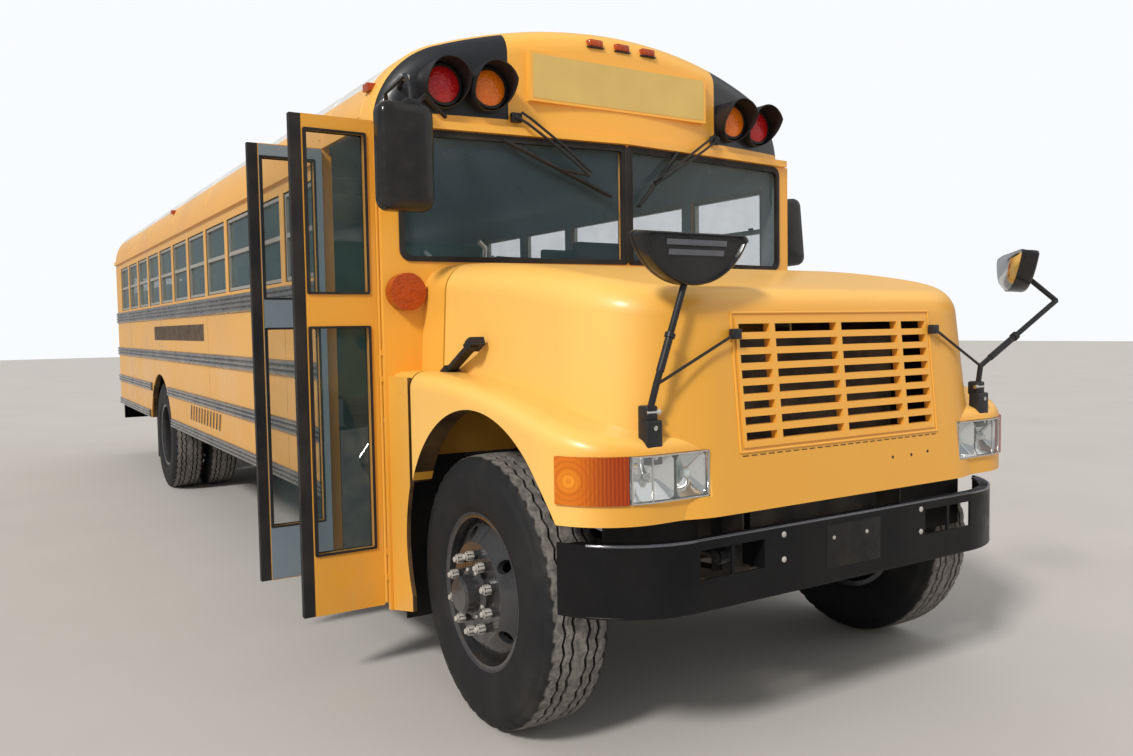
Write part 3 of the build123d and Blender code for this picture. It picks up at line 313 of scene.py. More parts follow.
def body_paint():
    """The body: yellow outside, deeper orange towards the bottom as painted shade, a grey-green lining in the
    cabin, dark brown below the floor, round the rear arch and behind the hood, partly undercoat and dirt and
    partly painted shade.
    """
    g = Graph(paint("body_paint", BODY_YELLOW, side=0.5))
    x, y, z = g.split("Object")
    ahead, across, up = g.split("Normal")
    out = abs(y)
    # Painted shade: the walls deeper orange towards the bottom
    g.over(g.ramp(z, 1.45, 0.80, 0.0, 0.45), (0.62, 0.27, 0.012))
    g.over(g.ramp(x, axle_x - 1.2, axle_x - 2.6, 0.0, 0.22), (0.42, 0.22, 0.06))
    inward = g.outward(across, y) < -0.4
    rearward = (ahead < -0.5) & (x > axle_x - 1.3)
    forward = (ahead > 0.5) & (x < axle_x - 9.70)
    g.over((inward | rearward | forward) & (z > 1.0), cabin_lining(g))
    # Dark brown on inner and lower faces below the floor, in the rear arch and behind the hood: partly dirt,
    # partly painted shade
    g.over((inward | (up < -0.6)) & (z < 1.0), dirt_and_shade_brown(g))
    beside = x - rear_axle_x
    high = z - ARCH_Z
    in_arch = beside * beside + high * high < 0.64 ** 2
    g.over(in_arch & (abs(across) < 0.3) & (out < 1.208), dirt_and_shade_brown(g))
    firewall = (ahead > 0.6) & (out < 1.217) & (z < 1.36)
    under = (inward | (ahead < -0.5) | (up < -0.4)) & (z < 1.50)
    g.over((x > axle_x - 0.62) & (firewall | under), dirt_and_shade_brown(g))
    rear_lamps = (out > 0.455) & (out < 0.885) & (z > 2.435) & (z < 2.665)
    g.over(rear_lamps & (ahead < -0.5) & (x < axle_x - 9.78), PANEL_BLACK)
    return g.material


def nose_paint():
    """The hood: pale yellow outside with a painted highlight on its top and sides, deeper orange painted
    shade on its forward faces, dark brown inside its arches and on its inner faces (partly dust, partly
    painted shade), black arms below.
    """
    g = Graph(paint("hood_paint", HOOD_YELLOW, roughness=0.38, fade_and_sheen=0.5, side=1.0))
    x, y, z = g.split("Object")
    ahead, across, up = g.split("Normal")
    # Painted shade: forward faces deeper orange
    g.over(g.ramp(ahead, 0.55, 0.95, 0.0, 0.5), (0.60, 0.255, 0.010))
    # Inner, lower and rearward faces dark brown: partly dust, partly painted shade
    g.over((g.outward(across, y) < -0.3) | (up < -0.5) | (ahead < -0.5), dirt_and_shade_brown(g))
    g.over((abs(y) < 0.60) & (z < 1.06) & (x < axle_x + 0.768), TRIM_BLACK)
    return g.material


def tyre_rubber():
    """Black rubber, worn grey and dusty on the tread."""
    g = Graph("tyre_rubber")
    x, z = g.split("Object")[::2]
    along = g.math("MINIMUM", abs(x - axle_x), abs(x - rear_axle_x))
    up = z - wheel_z
    worn = g.ramp(g.math("SQRT", along * along + up * up), tyre_radius - 0.010, tyre_radius - 0.003)
    side = g.mix(g.noise(9.0, 4), (0.010, 0.010, 0.011), (0.020, 0.020, 0.021))
    side = g.mix(g.ramp(g.noise(3.5, 5), 0.5, 0.85, 0.0, 0.07), side, DUST)
    clods = g.ramp(g.noise(34.0, 4, 0.7), 0.34, 0.66, 0.35, 1.0)
    tread = g.mix(clods, (0.045, 0.042, 0.040), (0.24, 0.22, 0.195))
    g.bump(g.noise(260.0, 3), 0.0006, 0.5)
    return g.finish(Base_Color=g.mix(worn, side, tread), Roughness=0.66, Specular_IOR_Level=0.22)


MATERIALS = {
    "body": body_paint(),
    "hood": nose_paint(),
    "grille": paint("grille_paint", (0.80, 0.37, 0.04), roughness=0.42, fade_and_sheen=0.3),
    "door": paint("door_paint", (0.76, 0.345, 0.032), fade_and_sheen=0.15, dust_top=0.9),
    "cap": cap_paint(),
    "roof": roof_paint(),
    "rivet": paint("rivet_paint", tuple(c * 0.86 for c in BODY_YELLOW)),
    "glass": glass("window_glass", (0.045, 0.105, 0.112), 0.15, 0.05),
    "shield": glass("shield_glass", (0.090, 0.165, 0.205), 0.13, 0.02),
    "amber": lens("amber_lens", (0.55, 0.075, 0.002), (0.24, 0.020, 0.001), 90),
    "warning": lens("warning_amber", (0.95, 0.24, 0.006), (0.60, 0.10, 0.003), 70),
    "warning_red": lens("warning_red", (0.62, 0.012, 0.014), (0.30, 0.003, 0.006), 70),
    "red": lens("red_lens", (0.30, 0.008, 0.010), (0.085, 0.002, 0.004), 90),
    "clear": lamp_glass(),
    "ribbed": ribbed_amber(),
    "tyre": tyre_rubber(),
    # Rub rails: black lifted to a bluish grey as a painted sheen, with dust
    "rail": coloured("rail_black", (0.060, 0.063, 0.072), 0.26, 0.3, 0.5, 5, dusty=0.28, coat=0.5),
    "bumper": coloured("bumper_black", (0.005, 0.005, 0.006), 0.34, 0, 0.25, 5, dusty=0.01, shine=0.14),
    "chassis": coloured("chassis_black", (0.028, 0.027, 0.027), 0.6, 0, 0.35, 8, 0.001, dusty=0.35),
    "engine": coloured("engine_grey", (0.12, 0.12, 0.12), 0.6, 0.4, 0.4, 12, 0.002, dusty=0.3),
    "exhaust": coloured("exhaust_steel", (0.28, 0.22, 0.17), 0.5, 0.7, 0.5, 6, 0.001, dusty=0.2),
    "floor": coloured("floor_mat", (0.06, 0.06, 0.065), 0.7, 0, 0.2, 14, 0.001, dusty=0.25),
    "sash": coloured("sash_aluminium", (0.50, 0.475, 0.42), 0.42, 0.6, 0.12, 11, dusty=0.1),
    "seat_trim": coloured("seat_piping", (0.018, 0.055, 0.033), vary=0.1),
    "belt": coloured("seat_belt", (0.02, 0.02, 0.022), 0.8, 0, 0.15, 9, 0.0006, 600),
    "seam": coloured("seam_shadow", (0.22, 0.095, 0.012), 0.6, vary=0.2),
    "patch": coloured("patch_brown", (0.075, 0.042, 0.018), 0.5, 0, 0.45, 7, shine=0.3),
    # Grey on black parts as a painted highlight: the cross-view mirrors' face bars and the bumper's top edge
    "bar": coloured("mirror_bar", (0.085, 0.085, 0.098), 0.22, 0, 0.3, 14, coat=0.5),
    "white": coloured("border_white", (0.78, 0.78, 0.76), 0.4, vary=0.06),
    "nosing": coloured("nosing_yellow", (0.70, 0.40, 0.03), vary=0.2, dusty=0.25),
    "lamp_inner": coloured("lamp_inner_lens", (0.50, 0.56, 0.52), 0.2, 0, 0.2, 30, coat=0.5),
    "trim": coloured("trim_black", TRIM_BLACK, 0.42, vary=0.3, shine=0.35),
    "mirror": coloured("mirror_black", (0.010, 0.010, 0.011), 0.2, 0, 0.2, 9, 0.0003, 420, 0.03, shine=0.4),
    "rubber": coloured("black_rubber", (0.014, 0.014, 0.016), 0.62, 0, 0.2, 9, 0.0006, 260, 0.05, shine=0.25),
    "rim": coloured("rim_black", (0.022, 0.023, 0.027), 0.26, 0.2, 0.35, 12, 0.0006, dusty=0.07, coat=0.6),
    "seat": coloured("seat_vinyl", (0.035, 0.10, 0.06), 0.45, 0, 0.15, 9, 0.0008, 300),
    "driver": coloured("driver_vinyl", (0.03, 0.03, 0.033), 0.5, 0, 0.15, 9, 0.0008, 300),
    "dash": coloured("dash_grey", (0.05, 0.052, 0.055), 0.6, 0, 0.15, 9, 0.0006, 300),
    "stop": coloured("stop_red", (0.42, 0.012, 0.014), 0.35, vary=0.1, coat=0.3),
    "nut": coloured("nut_steel", (0.46, 0.43, 0.385), 0.42, 0.2, 0.5, 38, 0.0006),
    "flange": coloured("flange_grey", (0.045, 0.045, 0.05), 0.45, 0.2, 0.4, 16),
    "chrome": coloured("chrome", (0.62, 0.62, 0.61), 0.16, 0.95, 0.08, 20, dusty=0.04),
    "silver": coloured("mirror_silver", (0.72, 0.74, 0.75), 0.05, 1.0, 0.02, 4, dusty=0.03),
    "sign": coloured("sign_sheet", (0.64, 0.45, 0.13), 0.45, 0, 0.12, 5, 0.0003, 500),
    "plate": coloured("plate_blank", (0.011, 0.010, 0.010), 0.5, 0, 0.3, 16, dusty=0.03, shine=0.2),
    "inner_panel": coloured("inner_panel_grey", (0.20, 0.255, 0.295), 0.5, 0, 0.12, 6, dusty=0.08),
}

# The record's material slots, with the looks that stand for each
SLOT_LOOKS = {
    "body_yellow": "body roof cap rivet seam patch sign", "hood_yellow": "hood", "grille_yellow": "grille",
    "door_yellow": "door inner_panel", "rail_black": "rail", "bumper_black": "bumper plate",
    "chassis_black": "chassis", "exhaust_steel": "exhaust", "engine_grey": "engine",
    "floor_grey": "floor nosing",
    "sash_aluminium": "sash chrome", "amber_lens": "amber ribbed warning", "red_lens": "red warning_red",
    "clear_lens": "clear lamp_inner", "trim_black": "trim", "mirror_black": "mirror bar",
    "rubber_black": "rubber",
    "tyre_rubber": "tyre", "rim_black": "rim nut flange", "seat_vinyl": "seat seat_trim",
    "driver_vinyl": "driver belt", "dash_grey": "dash", "stop_red": "stop white", "window_glass": "silver",
}
SLOTS = {look: slot for slot, looks in SLOT_LOOKS.items() for look in looks.split()}

# The CAD nodes that keep their own mesh, by look
NODE_LOOKS = {
    "body": "wall_right wall_left front_wall rear_wall emergency_door",
    "hood": "hood_shell",
    "grille": "grille",
    "door": "door_front_leaf door_rear_leaf",
    "cap": "front_cap",
    "roof": "roof",
    "rail": "rub_rails",
    "bumper": "front_bumper rear_bumper",
    "chassis": "frame_rails leaf_springs front_axle rear_axle drive_shaft radiator fuel_tank knuckle_right "
               "knuckle_left tie_rod",
    "engine": "engine_block",
    "exhaust": "exhaust",
    "floor": "floor",
    "sash": "window_sashes",
    "glass": "side_glass door_front_glass door_rear_glass emergency_glass",
    "shield": "windshield",
    "amber": "amber_lamps",
    "ribbed": "hood_turn_lamps",
    "red": "red_lamps",
    "clear": "headlamps",
    "trim": "lamp_hoods wipers stop_arm_bracket",
    "mirror": "outside_mirrors cross_view_mirrors",
    "rubber": "door_front_seal door_rear_seal hood_latches mud_flaps",
    "tyre": "front_tyre_right front_tyre_left rear_tyres_right rear_tyres_left",
    "rim": "front_rim_right front_rim_left rear_rims_right rear_rims_left",
    "seat": "passenger_seats",
    "driver": "driver_seat",
    "dash": "dashboard",
    "stop": "stop_arm",
}


def dress_nodes():
    """Give every CAD node its material."""
    for look, names in NODE_LOOKS.items():
        for name in names.split():
            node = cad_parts[name]
            node.data.materials.clear()
            node.data.materials.append(MATERIALS[look])


PIECES = []


class Piece:
    """One added object: simple forms in one mesh, which rides one of the bus's bodies.

    Each form is built on every side in sides: as given for 1, and mirrored across the centreline for -1.
    """

    def __init__(self, name, look, body="body", replaces=None, crease=35, sides=LEFT, padded=False):
        self.name = name
        self.look = look
        self.body = body
        self.replaces = replaces
        self.crease = math.radians(crease)
        self.sides = sides
        self.padded = padded
        self.bm = bmesh.new()
        PIECES.append(self)

    def on_sides(self, *points):
        """The points, once for each side."""
        return [[Vector((x, side * y, z)) for x, y, z in points] for side in self.sides]

    def skin(self, rows, closed=True, caps=True, ring=False):
        """Join rows of points of equal length, as they are; a ring also joins the last row to the first."""
        made = [[self.bm.verts.new(p) for p in row] for row in rows]
        count = len(made[0])
        for a, b in zip(made, made[1:] + made[:1] if ring else made[1:]):
            for i in range(count if closed else count - 1):
                k = (i + 1) % count
                self.bm.faces.new((a[i], a[k], b[k], b[i]))
        if caps:
            self.bm.faces.new(made[0][::-1])
            self.bm.faces.new(made[-1])

    def loops(self, rows, closed=True, caps=True, ring=False):
        for side in self.sides:
            self.skin([[(x, side * y, z) for x, y, z in row] for row in rows], closed, caps, ring)

    def prism(self, outline, depth):
        """A closed outline of points, moved along a vector."""
        self.loops([outline, [Vector(p) + Vector(depth) for p in outline]])

    def frame(self, outer, inner, depth):
        """A flat frame between two outlines of equal count, moved along a vector."""
        moved = [[Vector(p) + Vector(depth) for p in outline] for outline in (outer, inner)]
        self.loops([outer, *moved, inner], caps=False, ring=True)

    def rim(self, x, outer, inner, depth, steps=6):
        """A frame between two rounded rectangles, each its y range, z range and radius."""
        outlines = [stand(x, round_rect(*shape, steps)) for shape in (outer, inner)]
        self.frame(*outlines, (depth, 0, 0))

    def box(self, low, high, round_by=0.0):
        """An upright box, with its edges rounded when asked."""
        for low, high in self.on_sides(low, high):
            size = high - low
            scale = Matrix.Diagonal((abs(size.x), abs(size.y), abs(size.z), 1))
            made = bmesh.ops.create_cube(self.bm, size=1, matrix=Matrix.Translation((low + high) / 2) @ scale)
            if round_by:
                edges = list({e for v in made["verts"] for e in v.link_edges})
                bmesh.ops.bevel(self.bm, geom=edges, offset=round_by, segments=3, affect="EDGES", profile=0.5)

    def turned(self, centre, axis, profile, count=40, caps=True):
        """A profile of (along, radius) pairs, turned about an axis through a centre."""
        for start, along in self.on_sides(centre, axis):
            along.normalize()
            side = Vector((1, 0, 0)) if abs(along.y) > 0.9 else along.orthogonal().normalized()
            self.skin([circle(start + along * step, side, along.cross(side), radius, count)
                       for step, radius in profile], caps=caps)

    def tube(self, points, radius, count=12):
        """A round bar through a row of points."""
        for points in self.on_sides(*points):
            rows = []
            side = None
            for before, point, after in zip(points[:1] + points, points, points[1:] + points[-1:]):
                along = ((after - point).normalized() + (point - before).normalized()).normalized()
                side = along.orthogonal() if side is None else side - along * side.dot(along)
                side.normalize()
                rows.append(circle(point, side, along.cross(side), radius, count))
            self.skin(rows)

    def copy(self, mesh, shift):
        """Add a mesh's points and faces, moved by a vector."""
        for [step] in self.on_sides(shift):
            made = [self.bm.verts.new(vertex.co + step) for vertex in mesh.vertices]
            for polygon in mesh.polygons:
                self.bm.faces.new([made[i] for i in polygon.vertices])

    def place(self):
        """Turn the forms into an object on its body."""
        bmesh.ops.translate(self.bm, verts=self.bm.verts, vec=(axle_x, 0, 0))
        bmesh.ops.recalc_face_normals(self.bm, faces=self.bm.faces)
        for face in self.bm.faces:
            face.smooth = True
        for edge in self.bm.edges:
            edge.smooth = len(edge.link_faces) == 2 and edge.calc_face_angle(0) < self.crease
        mesh = bpy.data.meshes.new(self.name)
        self.bm.to_mesh(mesh)
        self.bm.free()
        mesh.materials.append(MATERIALS[self.look])
        made = bpy.data.objects.new(self.name, mesh)
        bpy.context.scene.collection.objects.link(made)
        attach(made, self.body)
        if self.replaces:
            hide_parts(self.replaces)


def circle(centre, side, other, radius, count):
    """Points round a centre, in the plane of two unit vectors."""
    turns = [2 * math.pi * i / count for i in range(count)]
    return [centre + side * (radius * math.cos(t)) + other * (radius * math.sin(t)) for t in turns]


def stand(x, outline):
    """An outline of (y, z) pairs, stood up at a station."""
    return [(x, y, z) for y, z in outline]


def round_rect(y, z, radii, steps=6):
    """A rounded rectangle of (y, z) pairs, anticlockwise from its low first corner, by one radius or four."""
    if not isinstance(radii, tuple):
        radii = (radii,) * 4
    corners = ((y[0], z[0], 1, 1), (y[1], z[0], -1, 1), (y[1], z[1], -1, -1), (y[0], z[1], 1, -1))
    points = []
    for (cy, cz, sy, sz), start, radius in zip(corners, (180, 270, 0, 90), radii):
        for i in range(steps + 1):
            angle = math.radians(start + 90 * i / steps)
            points.append((cy + (sy + math.cos(angle)) * radius, cz + (sz + math.sin(angle)) * radius))
    return points


def wall_x(y, proud=0.0):
    """The station of the front wall's V-shaped face at a width."""
    return -0.572 - 0.105 * abs(y) + proud


def windshield_gasket():
    """Rubber round both panes, and the bar between them."""
    gasket = Piece("windshield_gasket", "rubber", sides=BOTH)
    outer = round_rect((0.004, 1.141), (1.819, 2.396), (0.015, 0.050, 0.050, 0.015))
    inner = round_rect((0.030, 1.118), (1.842, 2.366), (0.015, 0.035, 0.035, 0.015))
    rows = ((outer, -0.002), (outer, 0.007), (inner, 0.009), (inner, -0.0155))
    gasket.loops([[(wall_x(y, proud), y, z) for y, z in outline] for outline, proud in rows], caps=False)
    gasket.sides = LEFT
    gasket.box((-0.575, -0.016, 1.83), (-0.560, 0.016, 2.385), 0.004)


def tyre_section(step):
    """A tyre's section as (across, radius) pairs, at one of the four steps of a tread pitch."""
    wave = (-0.005, 0.0, 0.005, 0.0)[step]
    notch = 0.008 if step == 0 else 0.0
    half = [(0.1225, 0.302), (0.130, 0.322), (0.1335, 0.330), (0.1350, 0.350), (0.1372, 0.385),
            (0.1372, 0.420), (0.1355, 0.448), (0.1315, 0.472), (0.1285, 0.474), (0.1245, 0.492)]
    shoulder = ((0.1175, 0.012 + notch), (0.106, 0.005 + notch), (0.098, 0.0042), (0.090, 0.003))
    half += [(across, tyre_radius - depth) for across, depth in shoulder]
    grooves = []
    for centre, worn in ((-0.068, 0.0012), (-0.031, 0.0002), (0.031, 0.0002), (0.068, 0.0012)):
        for offset, depth in ((-0.0065, 0.0), (-0.0045, 0.011), (0.0045, 0.011), (0.0065, 0.0)):
            grooves.append((centre + offset + wave, tyre_radius - worn - depth))
    return [(-across, r) for across, r in half] + grooves + half[::-1] + [(0.111, 0.291), (-0.111, 0.291)]


def tyres():
    """Tyres with zigzag tread grooves, each built section by section round its axle."""
    steps = 4 * 44
    sections = [tyre_section(step) for step in range(4)]
    ends = (("front", "front_wheel", "front_tyre", 0, (front_wheel_y,)),
            ("rear", "rear_wheels", "rear_tyres", rear_station, (1.056, 0.738)))
    for side, hand in HANDS:
        for end, body, node, station, places in ends:
            piece = Piece(f"tread_{end}_{hand}", "tyre", f"{body}_{hand}", f"{node}_{hand}", crease=50)
            for y in places:
                rows = []
                for step in range(steps):
                    turn = 2 * math.pi * step / steps
                    sine, cosine = (math.sin(turn), math.cos(turn))
                    rows.append([(station + r * sine, side * y + across, wheel_z - r * cosine)
                                 for across, r in sections[step % 4]])
                piece.loops(rows, caps=False, ring=True)


def wheel_fittings():
    """Nuts, stud ends, hub bolts and flange ring on each wheel's outside."""
    wheels = (("front_wheel", 0.0, front_wheel_y + 0.120, 0.032, 0.088, 0.030, front_wheel_y + 0.123),
              ("rear_wheels", rear_station, 0.917, 0.038, 0.066, 0.184, 1.179))
    for body, station, disc_y, nut_out, bolt_circle, bolt_out, flange_y in wheels:
        for side, hand in HANDS:
            nuts = Piece(f"nuts_{body}_{hand}", "nut", f"{body}_{hand}", sides=(side,))
            for count, radius, out, facets, profile in (
                    (10, 0.142875, nut_out, 6, [(0, 0.0195), (0.022, 0.0195), (0.0265, 0.017)]),
                    (10, 0.142875, nut_out, 12, [(0.02, 0.011), (0.036, 0.011), (0.038, 0.009)]),
                    (8, bolt_circle, bolt_out, 6, [(0, 0.0085), (0.009, 0.0085), (0.011, 0.006)])):
                for i in range(count):
                    turn = 2 * math.pi * (i + 0.5) / count
                    x, z = (station + radius * math.cos(turn), wheel_z + radius * math.sin(turn))
                    nuts.turned((x, disc_y + out, z), OUT, profile, facets)
            ring = Piece(f"flange_{body}_{hand}", "flange", f"{body}_{hand}", sides=(side,))
            profile = [(-0.003, 0.3025), (0.0006, 0.3022), (0.001, 0.297), (-0.004, 0.290), (-0.007, 0.2895)]
            ring.turned((station, flange_y, wheel_z), OUT, profile, 64, caps=False)


def lamp_lenses():
    """Domed lenses with their bezels over the front warning lamps."""
    for look, y, z in (("warning", 0.726, 2.594), ("warning_red", 0.936, 2.592)):
        face = -0.6 - CAP_BOW + math.sqrt(CAP_BOW ** 2 - y ** 2) + 0.034
        profile = [(0.0, 0.080), (0.006, 0.078), (0.013, 0.060), (0.017, 0.032), (0.018, 0.004)]
        Piece(f"{look}_domes", look, sides=BOTH).turned((face - 0.002, y, z), AHEAD, profile)
        profile = [(-0.004, 0.0905), (0.006, 0.0905), (0.007, 0.080), (0.0, 0.079)]
        Piece(f"{look}_bezels", "trim", sides=BOTH).turned((face, y, z), AHEAD, profile, caps=False)


def sign_field():
    """The bare panel over the windshield."""
    Piece("sign_field", "sign").rim(-0.5938, ((-0.508, 0.508), (2.574, 2.774), 0.006),
                                    ((-0.001, 0.001), (2.673, 2.675), 0.0005), 0.0012, 2)


def door_trims():
    """Black glazing strips round the panes of the entrance leaves, grey inner panels, and hinge barrels."""
    for body, outside, hinge_x in (("door_front", 1, -0.734), ("door_rear", -1, -1.478)):
        low, high = (corner - Vector((axle_x, 0, 0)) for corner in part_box(f"{body}_leaf"))
        pane_low, pane_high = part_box(f"{body}_glass")
        outer_x, inner_x = (high.x, low.x) if outside > 0 else (low.x, high.x)
        glazing = Piece(f"{body}_glazing", "rubber", body)
        for bottom, top in ((pane_low.z, pane_low.z + 0.968), (pane_low.z + 1.113, pane_high.z)):
            outer = ((pane_low.y - 0.010, pane_high.y + 0.006), (bottom - 0.005, top + 0.005), 0.008)
            inner = ((pane_low.y + 0.005, pane_high.y - 0.005), (bottom + 0.005, top - 0.005), 0.006)
            glazing.rim(outer_x - outside * 0.0045, outer, inner, outside * 0.006)
            glazing.rim(inner_x, outer, inner, -outside * 0.0025)
        panel = Piece(f"{body}_panel", "inner_panel", body)
        left, right = (low.y + 0.002, high.y - 0.014)
        bottom, top = (pane_low.z - 0.005, pane_high.z + 0.005)
        for y0, y1, z0, z1 in ((left, right, low.z + 0.004, bottom), (left, right, top, high.z - 0.004),
                               (left, right, bottom + 0.978, bottom + 1.113),
                               (left, pane_low.y - 0.010, bottom, top),
                               (pane_high.y + 0.006, right, bottom, top)):
            panel.box((inner_x - 0.0003 * outside, y0, z0), (inner_x - 0.0018 * outside, y1, z1))
        barrel = Piece(f"{body}_hinge_barrel", "door", body)
        barrel.tube([(hinge_x, -1.225, low.z + 0.01), (hinge_x, -1.225, high.z - 0.01)], 0.0072)


def windshield_wipers():
    """Two-bar wiper arms hung from the lip, each with its blade across the glass."""
    arms = Piece("wiper_arms", "trim", replaces="wipers")
    blades = Piece("wiper_blades", "rubber")
    # The side, and (y, z) of the pivot, of the arm's end and of the blade's two tips
    table = ((-1, (0.590, 2.475), (0.225, 2.235), (0.655, 2.372), (0.100, 2.143)),
             (1, (0.599, 2.480), (0.160, 2.215), (0.330, 2.392), (0.060, 2.105)))
    for side, pivot, grip, *tips in table:
        arms.sides = blades.sides = (side,)
        y, z = pivot
        arms.turned((-0.68, y, z), AHEAD, [(0, 0.012), (0.086, 0.012), (0.09, 0.009)], 20)
        arms.box((-0.625, y - 0.026, z - 0.020), (-0.600, y + 0.026, z + 0.024), 0.005)
        along = (Vector(grip) - Vector(pivot)).normalized()
        for shift in (0.0, 0.030):
            beside = Vector((along.y, -along.x)) * shift
            points = []
            for part, out in ((0, 0.040), (0.12, 0.052), (0.55, 0.058), (1, 0.034)):
                y, z = (Vector(pivot) + beside).lerp(Vector(grip) + beside * 0.6, part)
                points.append((wall_x(y, out), y, z))
            arms.tube(points, 0.0065, 8)
        start, end = (Vector((wall_x(y, 0.006), y, z)) for y, z in tips)
        middle = start.lerp(end, 0.5)
        for lift, width in ((0.0, 0.0055), (0.016, 0.0095)):
            shift = Vector((lift, 0, 0))
            blades.tube([start + shift, middle + shift * 1.3, end + shift], width, 6)
        for part in (0.12, 0.35, 0.65, 0.88):
            point = start.lerp(end, part)
            blades.box(point + Vector((0.0, -0.007, -0.007)), point + Vector((0.022, 0.007, 0.007)))
        arms.tube([(wall_x(grip[0], 0.034), *grip), middle + Vector((0.022, 0, 0))], 0.0075, 8)


def half_disc():
    """The cross-view mirror's outline as (across, up) pairs: an arc below a flat top with rounded ends."""
    middle, radius, top, corner = (0.0689, 0.2439, -0.001, 0.03)
    half = math.sqrt(radius ** 2 - (middle - top) ** 2)
    first = math.atan2(top - middle - corner, -half)
    turns = [first - (math.pi + 2 * first) * i / 28 for i in range(29)]
    points = [(radius * math.cos(t), middle + radius * math.sin(t)) for t in turns]
    for centre, steps in ((half - corner, range(1, 6)), (corner - half, range(6, 11))):
        turns = [math.radians(15 * i) for i in steps]
        points += [(centre + corner * math.cos(t), top - corner + corner * math.sin(t)) for t in turns]
    return points


def cross_view_mirrors():
    """Black half-round mirror heads on bent posts, with clamps, braces and their glass."""
    head = Piece("cross_view_heads", "mirror", "hood", "cross_view_mirrors")
    bars = Piece("cross_view_bars", "bar", "hood")
    posts = Piece("cross_view_posts", "trim", "hood")
    metal = Piece("cross_view_clamps", "chrome", "hood")
    face = Piece("cross_view_glass", "silver", "hood")
    # The side, then the post's elbow and neck, the head's centre, and its turn in degrees
    table = ((-1, (0.768, -0.872, 1.330), (0.766, -0.738, 1.690), (0.812, -0.725, 1.820), 0),
             (1, (0.752, 0.866, 1.328), (0.800, 1.341, 1.602), (0.734, 1.238, 1.813), 43))
    for side, elbow, neck, centre, turn in table:
        elbow, neck, centre = (Vector(point) for point in (elbow, neck, centre))
        turn = math.radians(turn)
        across = Vector((-math.sin(turn), math.cos(turn), 0))
        ahead = Vector((math.cos(turn), math.sin(turn), -0.1)).normalized()
        up = ahead.cross(across)

        def rings(rows):
            """The outline at each row's shrink, about its own middle, and depth behind the front."""
            return [[centre + across * (a * shrink) + up * ((b + 0.075) * shrink - 0.075) + ahead * depth
                     for a, b in half_disc()] for shrink, depth in rows]

        head.loops(rings(((1.0, -0.071), (1.0, -0.060), (0.985, -0.058), (0.985, -0.014), (0.965, -0.005),
                          (0.93, -0.001), (0.90, -0.001), (0.88, -0.006), (0.86, -0.010), (0.3, -0.006),
                          (0.05, -0.005))))
        face.loops(rings(((0.955, -0.0712), (0.90, -0.082), (0.72, -0.098), (0.4, -0.110), (0.05, -0.114))))
        # Two raised bars across each head's face, light grey as a painted reflection
        for height, reach in ((-0.034, 0.125), (-0.066, 0.115)):
            middle = centre + up * height - ahead * 0.012
            corners = ((-reach, -0.009), (reach, -0.009), (reach, 0.009), (-reach, 0.009))
            bars.prism([middle + across * a + up * b for a, b in corners], ahead * 0.009)
        posts.tube([(0.725, side * 0.880, 1.200), elbow, neck], 0.0115, 14)
        posts.tube([neck, centre - ahead * 0.036 - up * 0.075], 0.0115, 14)
        for low, high, radius in ((0.12, 0.42, 0.0135), (0.42, 0.46, 0.018)):
            posts.tube([elbow.lerp(neck, low), elbow.lerp(neck, high)], radius, 14)
        posts.tube([elbow, (0.772, side * 0.530, 1.490)], 0.0055, 8)
        for x0, x1, y, half, z0, z1, radius in ((0.712, 0.764, 0.875, 0.032, 1.070, 1.215, 0.006),
                                                (0.700, 0.752, 0.875, 0.024, 1.205, 1.262, 0.008),
                                                (0.752, 0.783, 0.530, 0.018, 1.470, 1.506, 0.005)):
            posts.box((x0, side * y - half, z0), (x1, side * y + half, z1), radius)
        for z in (1.095, 1.19):
            metal.turned((0.763, side * 0.875, z), AHEAD, [(0, 0.009), (0.006, 0.009), (0.008, 0.006)], 6)
        metal.turned((0.745, side * 0.868 - 0.028, 1.240), OUT, [(0, 0.009), (0.056, 0.009)], 6)


def housing(piece, centre, lean, ahead, size, depths):
    """A mirror housing: rounded outlines, leaning inward, each shrunk and set at its depth along x."""
    half_width, half_height = size
    across = Vector((0, math.cos(lean), math.sin(lean)))
    up = Vector((0, -math.sin(lean), math.cos(lean)))
    rows = []
    for shrink, depth in depths:
        width, height = (half_width * shrink, half_height - half_width * (1 - shrink))
        outline = round_rect((-width, width), (-height, height), 0.05 * shrink)
        middle = Vector(centre) + Vector((ahead * depth, 0, 0))
        rows.append([middle + across * a + up * b for a, b in outline])
    piece.loops(rows)


